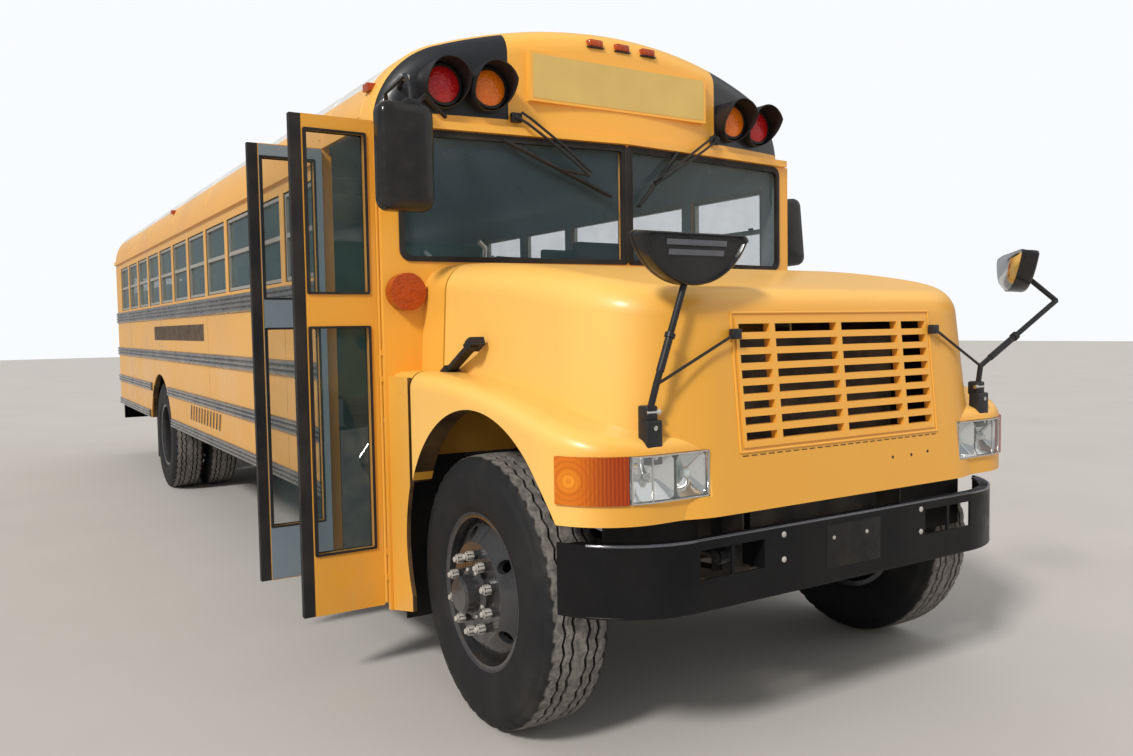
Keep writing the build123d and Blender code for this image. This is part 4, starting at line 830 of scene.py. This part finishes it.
def outside_mirrors():
    """Rear-view mirrors in domed housings, with their tubes and roof bracket."""
    body = Piece("mirror_housings", "mirror", replaces="outside_mirrors")
    face = Piece("mirror_glass", "silver")
    tubes = Piece("mirror_tubes", "trim")
    metal = Piece("mirror_clamps", "chrome")
    dome = ((1.0, 0.0), (1.0, 0.030), (0.985, 0.050), (0.93, 0.066), (0.82, 0.075), (0.6, 0.079),
            (0.1, 0.080))
    pane = ((1.0, -0.002), (0.98, 0.0015), (0.1, 0.002))
    for centre, lean, size, glass_size in (((-0.470, -1.210, 2.220), 0, (0.119, 0.219), (0.110, 0.210)),
                                           ((-0.897, 1.380, 2.057), 6, (0.104, 0.199), (0.096, 0.190))):
        housing(body, centre, math.radians(lean), 1, size, dome)
        housing(face, centre, math.radians(lean), -1, glass_size, pane)
    for z in (2.13, 2.31):
        body.box((-0.3905, -1.250, z - 0.002), (-0.3895, -1.170, z + 0.002))
    knot = (-0.560, -1.150, 2.585)
    for points in (((-0.430, -1.180, 2.42), (-0.440, -1.180, 2.50), knot),
                   (knot, (-0.60, -1.222, 2.512), (-0.660, -1.195, 2.478)),
                   (knot, (-0.660, -1.115, 2.600), (-0.740, -1.110, 2.565)),
                   ((-0.430, -1.170, 2.425), (-0.520, -1.080, 2.500), (-0.600, -0.950, 2.440)),
                   ((-0.430, -1.190, 2.38), (-0.560, -1.180, 2.370), (-0.705, -1.185, 2.350))):
        tubes.tube(points, 0.0095)
    tubes.box((-0.455, -1.215, 2.425), (-0.405, -1.145, 2.452), 0.006)
    metal.box((-0.690, -1.216, 2.455), (-0.645, -1.172, 2.500), 0.006)
    metal.turned((-0.572, -1.170, 2.579), OUT, [(0, 0.014), (0.04, 0.014)], 14)
    for z in (1.932, 2.172):
        tubes.tube([(-0.857, 1.340, z), (-0.857, 1.222, z)], 0.0105)
        tubes.box((-0.877, 1.2185, z - 0.02), (-0.837, 1.228, z + 0.02), 0.003)


def fender_x(y, proud=0.0):
    """The station of the fenders' front at a width, with its rounded corner."""
    out = max(y - 0.865, 0)
    return 0.478 + math.sqrt(max((0.300 + proud) ** 2 - out ** 2, 0))


def headlamp_details():
    """Bezels, bowls and bulbs of the headlamps."""
    chrome = Piece("headlamp_bezels", "chrome", "hood", sides=BOTH)
    bowls = Piece("headlamp_bowls", "silver", "hood", sides=BOTH)
    glow = Piece("headlamp_bulbs", "lamp_inner", "hood", sides=BOTH)
    lamp_z = 1.028
    for low, high in ((0.9505, 0.9565), (1.0995, 1.1055)):
        section = ((-0.001, low), (0.0035, low + 0.001), (0.0035, high - 0.001), (-0.001, high))
        widths = [0.668 + 0.306 * i / 12 for i in range(13)]
        chrome.loops([[(fender_x(y, 0.008) + dx, y, z) for dx, z in section] for y in widths])
    for y in (0.671, 0.902, 0.971):
        x = fender_x(y, 0.008)
        chrome.box((x - 0.002, y - 0.003, 0.951), (x + 0.0035, y + 0.003, 1.105), 0.001)
    bowl = ((1.0, 0.006), (0.96, 0.012), (0.80, 0.032), (0.55, 0.046), (0.25, 0.052), (0.02, 0.053))
    for near, far, lamp in ((0.672, 0.796, glow), (0.806, 0.970, chrome)):
        middle, half = ((near + far) / 2, (far - near) / 2)
        rows = []
        for shrink, depth in bowl:
            wide, tall = (half * shrink, (0.0715 - half * (1 - shrink)) * shrink)
            ranges = ((middle - wide, middle + wide), (lamp_z - tall, lamp_z + tall))
            outline = round_rect(*ranges, 0.02 * shrink, 4)
            rows.append([(fender_x(y) - depth, y, z) for y, z in outline])
        bowls.loops(rows, caps=False)
        lamp.turned((fender_x(middle) - 0.050, middle, lamp_z), AHEAD,
                    [(0, 0.014), (0.018, 0.016), (0.028, 0.013), (0.032, 0.006), (0.033, 0.001)], 20)


def grille_x(z, proud=0.0):
    """The station of the hood's leaning front face at a height."""
    return 0.838 - 0.134 * (z - 0.580) / 1.320 + proud


def grille_bead():
    """A bead round the grille, the dashed seam under it, and three holes, drawn as black discs of painted
    shade.
    """
    bead = Piece("grille_bead", "grille", "hood")
    corners = ((-0.527, 1.083), (0.527, 1.083), (0.527, 1.560), (-0.527, 1.560))
    corners = [(grille_x(z, 0.001), y, z) for y, z in corners]
    for start, end in zip(corners, corners[1:] + corners[:1]):
        bead.tube([start, end], 0.0045, 8)
    seam = Piece("grille_seam", "trim", "hood")
    for i in range(26):
        y = -0.505 + i * 0.0404
        seam.box((grille_x(1.070, -0.001), y - 0.013, 1.0685), (grille_x(1.070, 0.0012), y + 0.013, 1.0715))
    # The holes: black discs, painted shade for their openings
    for y, z in ((0.25, 1.0), (0.36, 1.0), (0.46, 1.005)):
        seam.turned((grille_x(z, -0.001), y, z), AHEAD, [(0, 0.006), (0.002, 0.006)], 12)


def bumper_trims():
    """Bolts, the bare plate place and the rolled edges of the front bumper, the top one grey as a painted
    highlight.
    """
    Piece("front_plate", "plate").box((0.8045, -0.125, 0.622), (0.8062, 0.166, 0.782), 0.0006)
    bolts = Piece("bumper_bolts", "nut")
    profile = [(0, 0.011), (0.003, 0.0105), (0.0055, 0.006), (0.006, 0.001)]
    for y in (-0.342, 0.408):
        for z in (0.780, 0.691):
            bolts.turned((0.804, y, z), AHEAD, profile, 16)
    for y in (-0.089, 0.089):
        bolts.turned((0.8055, y, 0.735), AHEAD, [(0, 0.0075), (0.003, 0.007), (0.004, 0.001)], 12)
    centre_x, corner_y, radius = (0.375, 0.730, 0.426)
    # The top edge grey as a painted highlight, the low edge bumper black
    for name, look, z in (("bumper_top_highlight", "bar", 0.8085), ("bumper_low_edge", "bumper", 0.5725)):
        points = []
        for i in range(-16, 17):
            turn = math.radians(52.0 * i / 16)
            middle = math.copysign(corner_y, i) if i else 0.0
            points.append((centre_x + radius * math.cos(turn), middle + radius * math.sin(turn), z))
        Piece(name, look).tube(points, 0.0052, 8)


def radiator_baffles():
    """Rubber sheets beside the radiator, which close the view past it."""
    sheets = Piece("radiator_baffles", "rubber", sides=BOTH)
    for y0, y1, z0, z1 in ((0.434, 0.80, 0.985, 1.44), (0.545, 0.96, 0.62, 0.91), (0.434, 0.478, 0.62, 0.93)):
        sheets.box((0.577, y0, z0), (0.583, y1, z1))


def marker_lenses():
    """Rounded lenses on dark feet over the three marker lamps of the cap."""
    lenses = Piece("marker_lenses", "amber")
    feet = Piece("marker_feet", "trim")
    for y in (-0.156, 0.0, 0.156):
        feet.box((-0.640, y - 0.046, 2.847), (-0.592, y + 0.046, 2.8535), 0.002)
        lenses.box((-0.652, y - 0.042, 2.8525), (-0.5885, y + 0.042, 2.888), 0.012)


def latch_straps():
    """Rubber hood latches: a narrow strap between its lower catch and its pull."""
    latch = Piece("latch_straps", "rubber", "hood", "hood_latches", sides=BOTH)
    start, along, across = (Vector((-0.384, 0, 1.333)), Vector((0.892, 0, 0.451)), Vector((-0.451, 0, 0.892)))
    for near, far, half, low, high in (
            (-0.016, 0.052, 0.018, 1.036, 1.098), (0.05, 0.25, 0.0095, 1.050, 1.092),
            (0.245, 0.312, 0.016, 1.036, 1.098), (0.262, 0.296, 0.021, 1.060, 1.096)):
        corners = ((near, -half), (far, -half), (far, half), (near, half))
        outline = [start + along * s + across * t + Vector((0, low, 0)) for s, t in corners]
        latch.prism(outline, (0, high - low, 0))
    for part in (0.018, 0.279):
        point = start + along * part + Vector((0, 1.030, 0))
        latch.turned(point, OUT, [(0, 0.009), (0.070, 0.009), (0.072, 0.006)], 12)


def puffed(low, high, lean, cell, cap, fixed_below):
    """A cushion's mesh: a block remeshed, blown up as cloth and held back to a cap.

    The block leans back by a share of its height, and its points below a height stay flat.
    """
    low, high = (Vector(low), Vector(high))
    size = high - low
    block = bmesh.new()
    matrix = Matrix.Translation((low + high) / 2) @ Matrix.Diagonal((*size, 1))
    bmesh.ops.create_cube(block, size=1, matrix=matrix)
    bmesh.ops.bevel(block, geom=block.edges[:], offset=min(size) * 0.30, segments=3, affect="EDGES",
                    profile=0.5)
    mesh = bpy.data.meshes.new("pad_block")
    block.to_mesh(mesh)
    block.free()
    form = bpy.data.objects.new("pad_form", mesh)
    scene = bpy.context.scene
    scene.collection.objects.link(form)

    def evaluated():
        return bpy.data.meshes.new_from_object(form.evaluated_get(bpy.context.evaluated_depsgraph_get()))

    remesh = form.modifiers.new("remesh", "REMESH")
    remesh.mode = "VOXEL"
    remesh.voxel_size = cell
    fine = evaluated()
    form.modifiers.clear()
    form.data = fine
    rest = [vertex.co.copy() for vertex in fine.vertices]
    pins = form.vertex_groups.new(name="pins")
    pins.add([v.index for v in fine.vertices if v.co.z < fixed_below], 1.0, "REPLACE")
    cloth = form.modifiers.new("cloth", "CLOTH")
    cloth.settings.vertex_group_mass = "pins"
    cloth.settings.use_pressure = True
    cloth.settings.uniform_pressure_force = 4
    cloth.settings.effector_weights.gravity = 0
    for number in range(1, 21):
        scene.frame_set(number)
    fine = evaluated()
    for vertex, start in zip(fine.vertices, rest):
        step = vertex.co - start
        vertex.co = start + step * min(1.0, cap / max(step.length, 1e-6))
    scene.frame_set(1)
    for vertex in fine.vertices:
        vertex.co.x -= (vertex.co.z - low.z) * lean
    bpy.data.objects.remove(form)
    return fine


def seat_benches():
    """Passenger benches and crash barriers: crowned pads with piping, on steel legs."""
    cushion = puffed((-0.030, -0.476, 1.309), (0.390, 0.476, 1.399), 0, 0.023, 0.012, 1.312)
    back = puffed((-0.022, -0.478, 1.352), (0.040, 0.478, 2.008), 0.098, 0.0255, 0.012, 0)
    barrier = puffed((0.006, -0.478, 1.150), (0.034, 0.478, 2.010), 0, 0.024, 0.006, 0)
    pads = Piece("seat_pads", "seat", replaces="passenger_seats", crease=60, sides=BOTH, padded=True)
    piping = Piece("seat_piping", "seat_trim", sides=BOTH)
    legs = Piece("seat_legs", "sash", sides=BOTH)
    bench_y, aisle_y = (0.6795, 0.265)
    back_line = ((0.040, 1.372), (0.006, 1.70), (-0.024, 1.980), (-0.056, 2.002), (-0.086, 1.980),
                 (-0.056, 1.70), (-0.024, 1.372))
    cushion_line = ((0.05, 1.404), (0.36, 1.404), (0.392, 1.380), (0.394, 1.325))
    for row in range(10):
        x = -2.330 - BAY * row
        pads.copy(cushion, (x, bench_y, 0))
        pads.copy(back, (x, bench_y, 0))
        for edge in (-0.468, 0.468):
            for share, line in ((1, back_line), (0.995, cushion_line)):
                piping.tube([(x + dx, bench_y + edge * share, z) for dx, z in line], 0.004, 6)
        for foot in (x + 0.040, x + 0.320):
            legs.tube([(foot, aisle_y, 1.012), (foot, aisle_y, 1.300)], 0.013, 10)
            legs.box((foot - 0.03, aisle_y - 0.025, FLOOR_Z), (foot + 0.03, aisle_y + 0.025, 1.016), 0.002)
        legs.tube([(x + 0.03, aisle_y, 1.296), (x + 0.33, aisle_y, 1.296)], 0.012, 10)
        for rail in (x + 0.03, x + 0.33):
            legs.tube([(rail, 0.215, 1.294), (rail, 1.150, 1.294)], 0.010, 8)
    for x, side in ((-1.710, -1), (-1.790, 1)):
        pads.sides = legs.sides = (side,)
        pads.copy(barrier, (x, bench_y, 0))
        for foot in (aisle_y, 1.094):
            legs.box((x + 0.008, foot - 0.015, FLOOR_Z), (x + 0.032, foot + 0.015, 1.155), 0.002)
            legs.box((x - 0.004, foot - 0.028, FLOOR_Z), (x + 0.044, foot + 0.028, 1.016), 0.002)


def driver_place():
    """The driver's seat on its pedestal, with its belt."""
    x, y = (-1.560, 0.580)
    pads = Piece("driver_pads", "driver", replaces="driver_seat", crease=60, padded=True)
    pads.copy(puffed((0.008, -0.242, 1.348), (0.442, 0.242, 1.432), 0, 0.020, 0.012, 1.352), (x, y, 0))
    pads.copy(puffed((-0.052, -0.232, 1.400), (0.036, 0.232, 2.045), 0.070, 0.020, 0.012, 0), (x, y, 0))
    base = Piece("driver_base", "trim")
    base.box((x + 0.12, y - 0.10, FLOOR_Z), (x + 0.32, y + 0.10, 1.03), 0.003)
    rows = []
    for z, half in ((1.03, 0.095), (1.08, 0.07), (1.14, 0.088), (1.18, 0.07), (1.24, 0.088), (1.29, 0.075),
                    (1.325, 0.098)):
        rows.append([(x + 0.22 + a, y + b, z) for a, b in round_rect((-half, half), (-half, half), 0.02, 3)])
    base.loops(rows)
    base.box((x + 0.02, y - 0.22, 1.325), (x + 0.43, y + 0.22, 1.349), 0.004)
    base.box((x - 0.01, y - 0.262, 1.36), (x + 0.06, y - 0.244, 1.50), 0.004)
    section = ((0, 0), (0, 0.045), (0.002, 0.045), (0.002, 0))
    line = ((-0.02, 0.13, 2.048), (0.000, 0.125, 1.98), (0.012, 0.12, 1.80), (0.028, 0.10, 1.55),
            (0.060, 0.09, 1.462))
    belt = Piece("driver_belt", "belt")
    belt.loops([[(x + dx + a, y + dy + b, z) for a, b in section] for dx, dy, z in line])


def roof_outline(proud, steps=40):
    """The roof's section as (y, z) pairs from right to left, standing proud of the skin."""
    corner_y, corner_z, corner, crown_z, crown = (0.799, 2.400, 0.420, -0.0912, 3.0362)
    lean = math.atan2(corner_y, corner_z - crown_z)
    points = []
    for i in range(-steps, steps + 1):
        part = 2 * abs(i) / steps
        angle = lean * part if part < 1 else lean + (math.pi / 2 - lean) * (part - 1)
        y, z, radius = (0, crown_z, crown + proud) if angle <= lean else (corner_y, corner_z, corner + proud)
        y += radius * math.sin(angle)
        points.append((math.copysign(y, i), z + radius * math.cos(angle)))
    return points


def body_seams():
    """Lapped roof joints with rivets, rivets along the rub rails, and wall joints."""
    laps = Piece("roof_laps", "roof")
    rivets = Piece("roof_rivets", "roof")
    for x in [PILLAR_X - 2 * BAY * i for i in range(6)] + [-0.966]:
        rows = [stand(x + dx, roof_outline(proud)[3:-3]) for dx, proud in
                ((-0.022, 0.0), (-0.020, 0.0018), (0.020, 0.0018), (0.022, 0.0))]
        laps.loops(rows, closed=False, caps=False)
        for y, z in roof_outline(0.0012, 26)[3:-3:2]:
            out = (0, y * 0.35, 1) if abs(y) < 0.8 else (0, math.copysign(0.504, y), max(z - 2.4, 0.02))
            rivets.turned((x, y, z), out, [(0, 0.006), (0.0022, 0.004), (0.003, 0.0008)], 6)
    heads = Piece("rail_rivets", "rivet")
    joints = Piece("wall_joints", "seam")
    first, pitch, arch_top = (-9.70, 0.1422, 1.13)
    for side, front in ((-1, -1.53), (1, -0.80)):
        heads.sides = joints.sides = (side,)
        for z in (1.790, 1.644, 1.366, 1.254, 1.026, 0.928):
            arch_half = math.sqrt(0.665 ** 2 - (z - ARCH_Z) ** 2) if z < arch_top else 0
            for i in range(math.ceil((front - first) / pitch)):
                x = first + pitch * i
                if abs(x - rear_station) >= arch_half:
                    heads.turned((x, 1.2188, z), OUT, [(0, 0.0055), (0.0020, 0.0038), (0.0028, 0.0008)], 6)
        for i in range(4):
            x = PILLAR_X - BAY * (3 * i + 1)
            for low, high in ((1.364, 1.648), (1.024, 1.256), (0.736, 0.930)):
                if abs(x - rear_station) > 0.66 or low > arch_top:
                    joints.box((x - 0.0012, 1.2185, low), (x + 0.0012, 1.2195, high))


def side_louvres():
    """Slanted air slots low in both side walls, ahead of the rear wheels: flat black prisms as painted shade
    for the openings, with lips.
    """
    slots = Piece("side_louvres", "trim", sides=BOTH)
    lips = Piece("louvre_lips", "body", sides=BOTH)
    for i in range(11):
        x = -5.20 + i * 0.11
        corners = ((0, 0.790), (0.060, 0.790), (0.105, 0.915), (0.045, 0.915))
        # Each slot a flat black prism on the wall, painted shade for its opening
        slots.prism([(x + dx, 1.2187, z) for dx, z in corners], (0, 0.0012, 0))
        lips.tube([(x + 0.060, 1.2195, 0.790), (x + 0.105, 1.2195, 0.915)], 0.0035, 6)


def bare_patch():
    """The dark field on the right wall, painted over, with nothing on it."""
    Piece("bare_patch", "patch").box((-6.93, -1.2190, 1.455), (-4.52, -1.2196, 1.588))


def window_details():
    """Sash latches and rubber round every side window, the foremost of which is on the left alone."""
    latches = Piece("sash_latches", "trim")
    rubber = Piece("window_rubber", "rubber")
    for i in range(-1, 11):
        latches.sides = rubber.sides = LEFT if i < 0 else BOTH
        x = PILLAR_X - BAY * (i + 0.5)
        for middle in (x - 0.22, x + 0.22):
            latches.box((middle - 0.018, 1.180, 2.070), (middle + 0.018, 1.172, 2.084), 0.002)
        outlines = []
        for half, low, high in ((0.3135, 1.800, 2.300), (0.3075, 1.806, 2.294)):
            corners = ((-half, low), (half, low), (half, high), (-half, high))
            outlines.append([(x + dx, 1.2105, z) for dx, z in corners])
        rubber.frame(*outlines, (0, 0.0035, 0))


def entrance_details():
    """Ribbed treads with bright nosings, grab rails and the mat along the aisle."""
    treads = Piece("step_treads", "floor")
    noses = Piece("step_nosings", "nosing")
    x_near, x_far = (-1.460, -0.765)
    for edge, z, count in ((-1.169, 0.3352, 9), (-0.8945, 0.6727, 9), (-0.620, FLOOR_Z, 4)):
        for i in range(count):
            y = edge + 0.040 + i * 0.024
            treads.box((x_near, y - 0.005, z), (x_far, y + 0.005, z + 0.0025))
        noses.box((x_near, edge + 0.001, z), (x_far, edge + 0.026, z + 0.004), 0.0015)
    rails = Piece("grab_rails", "chrome")
    line = ((-1.090, 0.86), (-1.060, 0.90), (-0.85, 1.18), (-0.70, 1.55), (-0.665, 1.90), (-0.70, 1.93))
    for x in (-1.425, -0.800):
        rails.tube(stand(x, line), 0.014)
        rails.turned((x, -1.098, 0.86), OUT, [(0, 0.024), (0.004, 0.024), (0.006, 0.018)], 16)
    mat = Piece("aisle_mat", "floor")
    for i in range(13):
        y = -0.168 + i * 0.028
        mat.box((-9.60, y - 0.008, FLOOR_Z), (-1.70, y + 0.008, 1.0125))


def rear_details():
    """Rings and domes of the rear lamps, rubbers of windows and door, hinges, plate place and bolts."""
    rings = Piece("rear_lamp_rings", "rubber", sides=BOTH)
    domes = {"warning": Piece("rear_amber_domes", "warning", sides=BOTH),
             "warning_red": Piece("rear_red_domes", "warning_red", sides=BOTH)}
    for look, y, z, radius, depth in (
            ("warning", 0.560, 2.560, 0.086, 0.034), ("warning_red", 0.780, 2.540, 0.086, 0.034),
            ("warning", 1.010, 1.420, 0.088, 0.030), ("warning_red", 0.800, 1.420, 0.088, 0.030),
            ("warning_red", 0.800, 0.880, 0.052, 0.024)):
        profile = [(0, radius + 0.014), (0.010, radius + 0.012), (0.015, radius)]
        rings.turned((REAR_X, y, z), BACK, profile, 48, caps=False)
        profile = [(0, radius - 0.003), (0.006, radius - 0.008), (0.012, radius * 0.6), (0.014, 0.003)]
        domes[look].turned((REAR_X - depth + 0.001, y, z), BACK, profile, 48)
    rubber = Piece("rear_rubbers", "rubber", sides=BOTH)
    rubber.rim(REAR_X + 0.001, ((0.418, 1.072), (1.778, 2.242), 0.03),
               ((0.436, 1.054), (1.796, 2.224), 0.02), -0.007)
    rubber.sides = LEFT
    rubber.rim(REAR_X, ((-0.350, 0.350), (0.965, 2.262), 0.03),
               ((-0.334, 0.334), (0.981, 2.245), 0.02), -0.005)
    door = Piece("exit_door_rubbers", "rubber", "exit_door")
    door_x = REAR_X - 0.0035
    for low, high in ((1.110, 1.500), (1.790, 2.180)):
        door.rim(door_x, ((-0.262, 0.262), (low - 0.012, high + 0.012), 0.02),
                 ((-0.244, 0.244), (low + 0.006, high - 0.006), 0.012), -0.006)
    fittings = Piece("exit_door_fittings", "trim", "exit_door")
    for z in (1.540, 1.720):
        fittings.box((-9.800, 0.212, z), (door_x, 0.268, z + 0.040), 0.002)
    fittings.turned((door_x, 0.290, 1.640), BACK, [(0, 0.018), (0.006, 0.017), (0.010, 0.008)], 24)
    for z in (1.15, 1.62, 2.08):
        fittings.tube([(-9.802, -0.330, z - 0.055), (-9.802, -0.330, z + 0.055)], 0.0075)
    plate = Piece("rear_plate", "plate")
    plate.box((REAR_X - 0.0045, 0.468, 1.045), (REAR_X - 0.0005, 0.772, 1.195), 0.001)
    plate.box((REAR_X - 0.030, 0.570, 1.205), (REAR_X, 0.670, 1.232), 0.005)
    bolts = Piece("rear_bolts", "nut")
    for y in (0.531, 0.709):
        for z in (1.0595, 1.1805):
            bolts.turned((REAR_X - 0.0045, y, z), BACK, [(0, 0.006), (0.003, 0.005)], 12)
    for y in (-0.80, -0.40, 0.40, 0.80):
        for z in (0.530, 0.620):
            bolts.turned((-9.9195, y, z), BACK, [(0, 0.011), (0.002, 0.009), (0.003, 0.004)], 16)
    rivets = Piece("rear_rivets", "rivet", sides=BOTH)
    profile = [(0, 0.0055), (0.002, 0.004), (0.003, 0.001)]
    for i in range(17):
        for y in (0.382, 1.120):
            rivets.turned((REAR_X, y, 0.78 + i * 0.092), BACK, profile, 6)


def stop_arm_face():
    """A white border, with nothing written inside it, and two lamps on the stop arm's faces."""
    border = Piece("stop_border", "white", "stop_arm")
    x, middle_z = (-2.140, 1.480)
    for y, step in ((1.2768, 0.0014), (1.2652, -0.0014)):
        outlines = []
        for apothem in (0.220, 0.205):
            reach = apothem / math.cos(math.pi / 8)
            turns = [math.pi / 8 * (2 * i + 1) for i in range(8)]
            outlines.append([(x + reach * math.cos(t), y, middle_z + reach * math.sin(t)) for t in turns])
        border.frame(*outlines, (0, step, 0))
    lamp = Piece("stop_lamps", "warning_red", "stop_arm")
    ring = Piece("stop_lamp_rings", "trim", "stop_arm")
    for z in (middle_z - 0.150, middle_z + 0.150):
        lamp.turned((x, 1.277, z), OUT, [(0, 0.040), (0.012, 0.039), (0.020, 0.028), (0.023, 0.003)], 36)
        ring.turned((x, 1.277, z), OUT, [(0, 0.049), (0.006, 0.048), (0.010, 0.040)], 36, caps=False)


def underside():
    """Spring bolts, brake chambers with their hoses, tank straps, muffler bands and shaft joints."""
    steel = Piece("chassis_bolts", "chassis")
    for station, low, high, near, far, reach in ((0.0, 0.470, 0.592, 0.344, 0.440, 0.038),
                                                 (rear_station, 0.440, 0.672, 0.442, 0.538, 0.048)):
        for side in BOTH:
            steel.sides = (side,)
            shift = 0.01 * side
            for x in (station - reach, station + reach):
                steel.tube([(x, near, low), (x, near, high), (x, far, high), (x, far, low)], 0.008, 8)
            steel.box((station - 0.085, near - shift, high - 0.012),
                      (station + 0.085, far + shift, high - 0.002), 0.002)
    chambers = Piece("brake_chambers", "engine", sides=BOTH)
    profile = [(0, 0.030), (0.010, 0.066), (0.060, 0.082), (0.072, 0.088), (0.084, 0.082), (0.140, 0.070),
               (0.155, 0.030)]
    chambers.turned((-6.985, 0.300, 0.560), AHEAD, profile, 28)
    chambers.box((-6.850, 0.270, 0.480), (-6.740, 0.330, 0.495), 0.002)
    hoses = Piece("brake_hoses", "rubber", sides=BOTH)
    hoses.tube([(-6.93, 0.30, 0.645), (-6.95, 0.33, 0.74), (-6.90, 0.37, 0.79), (-6.86, 0.415, 0.79)],
               0.008, 8)
    straps = Piece("tank_straps", "exhaust")
    for x in (-8.35, -7.90):
        outline = round_rect((-0.3525, 0.3525), (0.5575, 0.8825), 0.05)
        straps.loops([stand(x + dx, outline) for dx in (-0.022, 0.022)], caps=False)
    profile = [(0, 0.1155), (0.002, 0.1185), (0.022, 0.1185), (0.024, 0.1155)]
    for x in (-2.95, -3.50, -4.05):
        straps.turned((x - 0.012, 0.600, 0.600), AHEAD, profile, caps=False)
    joints = Piece("shaft_joints", "chassis")
    profile = [(0, 0.045), (0.010, 0.062), (0.034, 0.066), (0.056, 0.066), (0.080, 0.062), (0.090, 0.045)]
    for x, z in ((-6.30, 0.568), (-1.30, 0.797), (-3.50, 0.704), (-3.72, 0.693)):
        joints.turned((x - 0.045, 0, z), (1, 0, 0.04), profile, 24)


def dash_details():
    """Blank round gauges, a switch panel, and the steering wheel's spokes and hub."""
    gauges = Piece("dash_gauges", "chrome")
    faces = Piece("gauge_faces", "trim")
    for dy, dz, radius in ((-0.12, 0.0, 0.055), (0.12, 0.0, 0.055), (0.0, 0.015, 0.035),
                           (-0.235, 0.01, 0.030), (0.235, 0.01, 0.030), (-0.235, -0.07, 0.030),
                           (0.235, -0.07, 0.030)):
        place = (-0.8005, 0.580 + dy, 1.690 + dz)
        profile = [(0, radius + 0.005), (0.006, radius + 0.004), (0.006, radius)]
        gauges.turned(place, BACK, profile, 32, caps=False)
        faces.turned(place, BACK, [(0, radius), (0.003, radius)], 32)
    for i in range(6):
        faces.box((-0.812, 0.160 - i * 0.05, 1.655), (-0.8005, 0.190 - i * 0.05, 1.700), 0.003)
    wheel = Piece("steering_wheel_hub", "trim")
    centre, normal = (Vector((-1.020, 0.580, 1.820)), Vector((-0.70, 0, 0.72)).normalized())
    wheel.turned(centre - normal * 0.045, normal,
                 [(0, 0.050), (0.030, 0.060), (0.050, 0.056), (0.056, 0.040)], 28)
    for turn in (math.radians(10), math.radians(170), math.radians(270)):
        out = Vector(OUT) * math.cos(turn) + normal.cross(Vector(OUT)) * math.sin(turn)
        for shift in (-0.014, 0.014):
            beside = normal.cross(out) * shift
            start = centre + out * 0.05 + beside - normal * 0.02
            wheel.tube([start, centre + out * 0.226 + beside * 1.5], 0.006, 8)


def light_and_floor():
    """A pale floor, a pale sky and soft light."""
    mesh = bpy.data.meshes.new("studio_floor")
    size = 60
    corners = [(-size, -size, 0), (size, -size, 0), (size, size, 0), (-size, size, 0)]
    mesh.from_pydata(corners, [], [(0, 1, 2, 3)])
    floor = bpy.data.objects.new("studio_floor", mesh)
    bpy.context.scene.collection.objects.link(floor)
    g = Graph("studio_floor")
    tone = g.mix(g.noise(0.8, 3), (0.455, 0.430, 0.400), (0.515, 0.490, 0.455))
    mesh.materials.append(g.finish(Base_Color=tone, Roughness=0.9))
    world = bpy.data.worlds.new("studio")
    bpy.context.scene.world = world
    world.use_nodes = True
    nodes, links = (world.node_tree.nodes, world.node_tree.links)
    # The sky's strength: 1 to the camera, 0.36 in gloss and 0.66 as light
    path, soft, strength = (nodes.new(f"ShaderNode{kind}") for kind in ("LightPath", "MapRange", "MapRange"))
    soft.inputs["To Min"].default_value = 0.66
    soft.inputs["To Max"].default_value = 0.36
    strength.inputs["To Max"].default_value = 1.0
    background = nodes["Background"]
    background.inputs["Color"].default_value = (0.95, 0.97, 1.0, 1)
    links.new(path.outputs["Is Glossy Ray"], soft.inputs["Value"])
    links.new(soft.outputs[0], strength.inputs["To Min"])
    links.new(path.outputs["Is Camera Ray"], strength.inputs["Value"])
    links.new(strength.outputs[0], background.inputs["Strength"])
    for name, power, angle, turn in (("key", 2.6, 10, (50, 0, 27)), ("fill", 0.4, 60, (60, 0, 150))):
        lamp = bpy.data.lights.new(name, "SUN")
        lamp.energy = power
        lamp.angle = math.radians(angle)
        lamp.color = (1.0, 0.97, 0.93)
        holder = bpy.data.objects.new(name, lamp)
        holder.rotation_euler = [math.radians(t) for t in turn]
        bpy.context.scene.collection.objects.link(holder)


def camera():
    """The camera at the photograph's place, angle and lens."""
    ahead_of_axle, to_right, height = (3.1353, 2.7043, 1.5215)
    yaw, pitch, roll = (0.56246, -0.05511, -0.01621)
    focal_pixels, frame_pixels = (929.2, 1133)
    lens_data = bpy.data.cameras.new("camera")
    lens_data.sensor_width = 36
    lens_data.lens = focal_pixels / frame_pixels * lens_data.sensor_width
    lens_data.clip_end = 500
    holder = bpy.data.objects.new("camera", lens_data)
    holder.matrix_world = Matrix.Translation((axle_x + ahead_of_axle, -to_right, height))
    for turn, axis in ((math.pi / 2 - yaw, "Z"), (math.pi / 2 + pitch, "X"), (roll, "Z")):
        holder.matrix_world @= Matrix.Rotation(turn, 4, axis)
    bpy.context.scene.collection.objects.link(holder)
    bpy.context.scene.camera = holder


dress_nodes()
for build in (windshield_gasket, tyres, wheel_fittings, lamp_lenses, sign_field, door_trims,
              windshield_wipers, cross_view_mirrors, outside_mirrors, headlamp_details, grille_bead,
              bumper_trims, radiator_baffles, marker_lenses, latch_straps, seat_benches, driver_place,
              body_seams, side_louvres, bare_patch, window_details, entrance_details, rear_details,
              stop_arm_face, underside, dash_details):
    build()
for piece in PIECES:
    piece.place()
light_and_floor()
camera()
bpy.context.scene.view_settings.view_transform = "Standard"
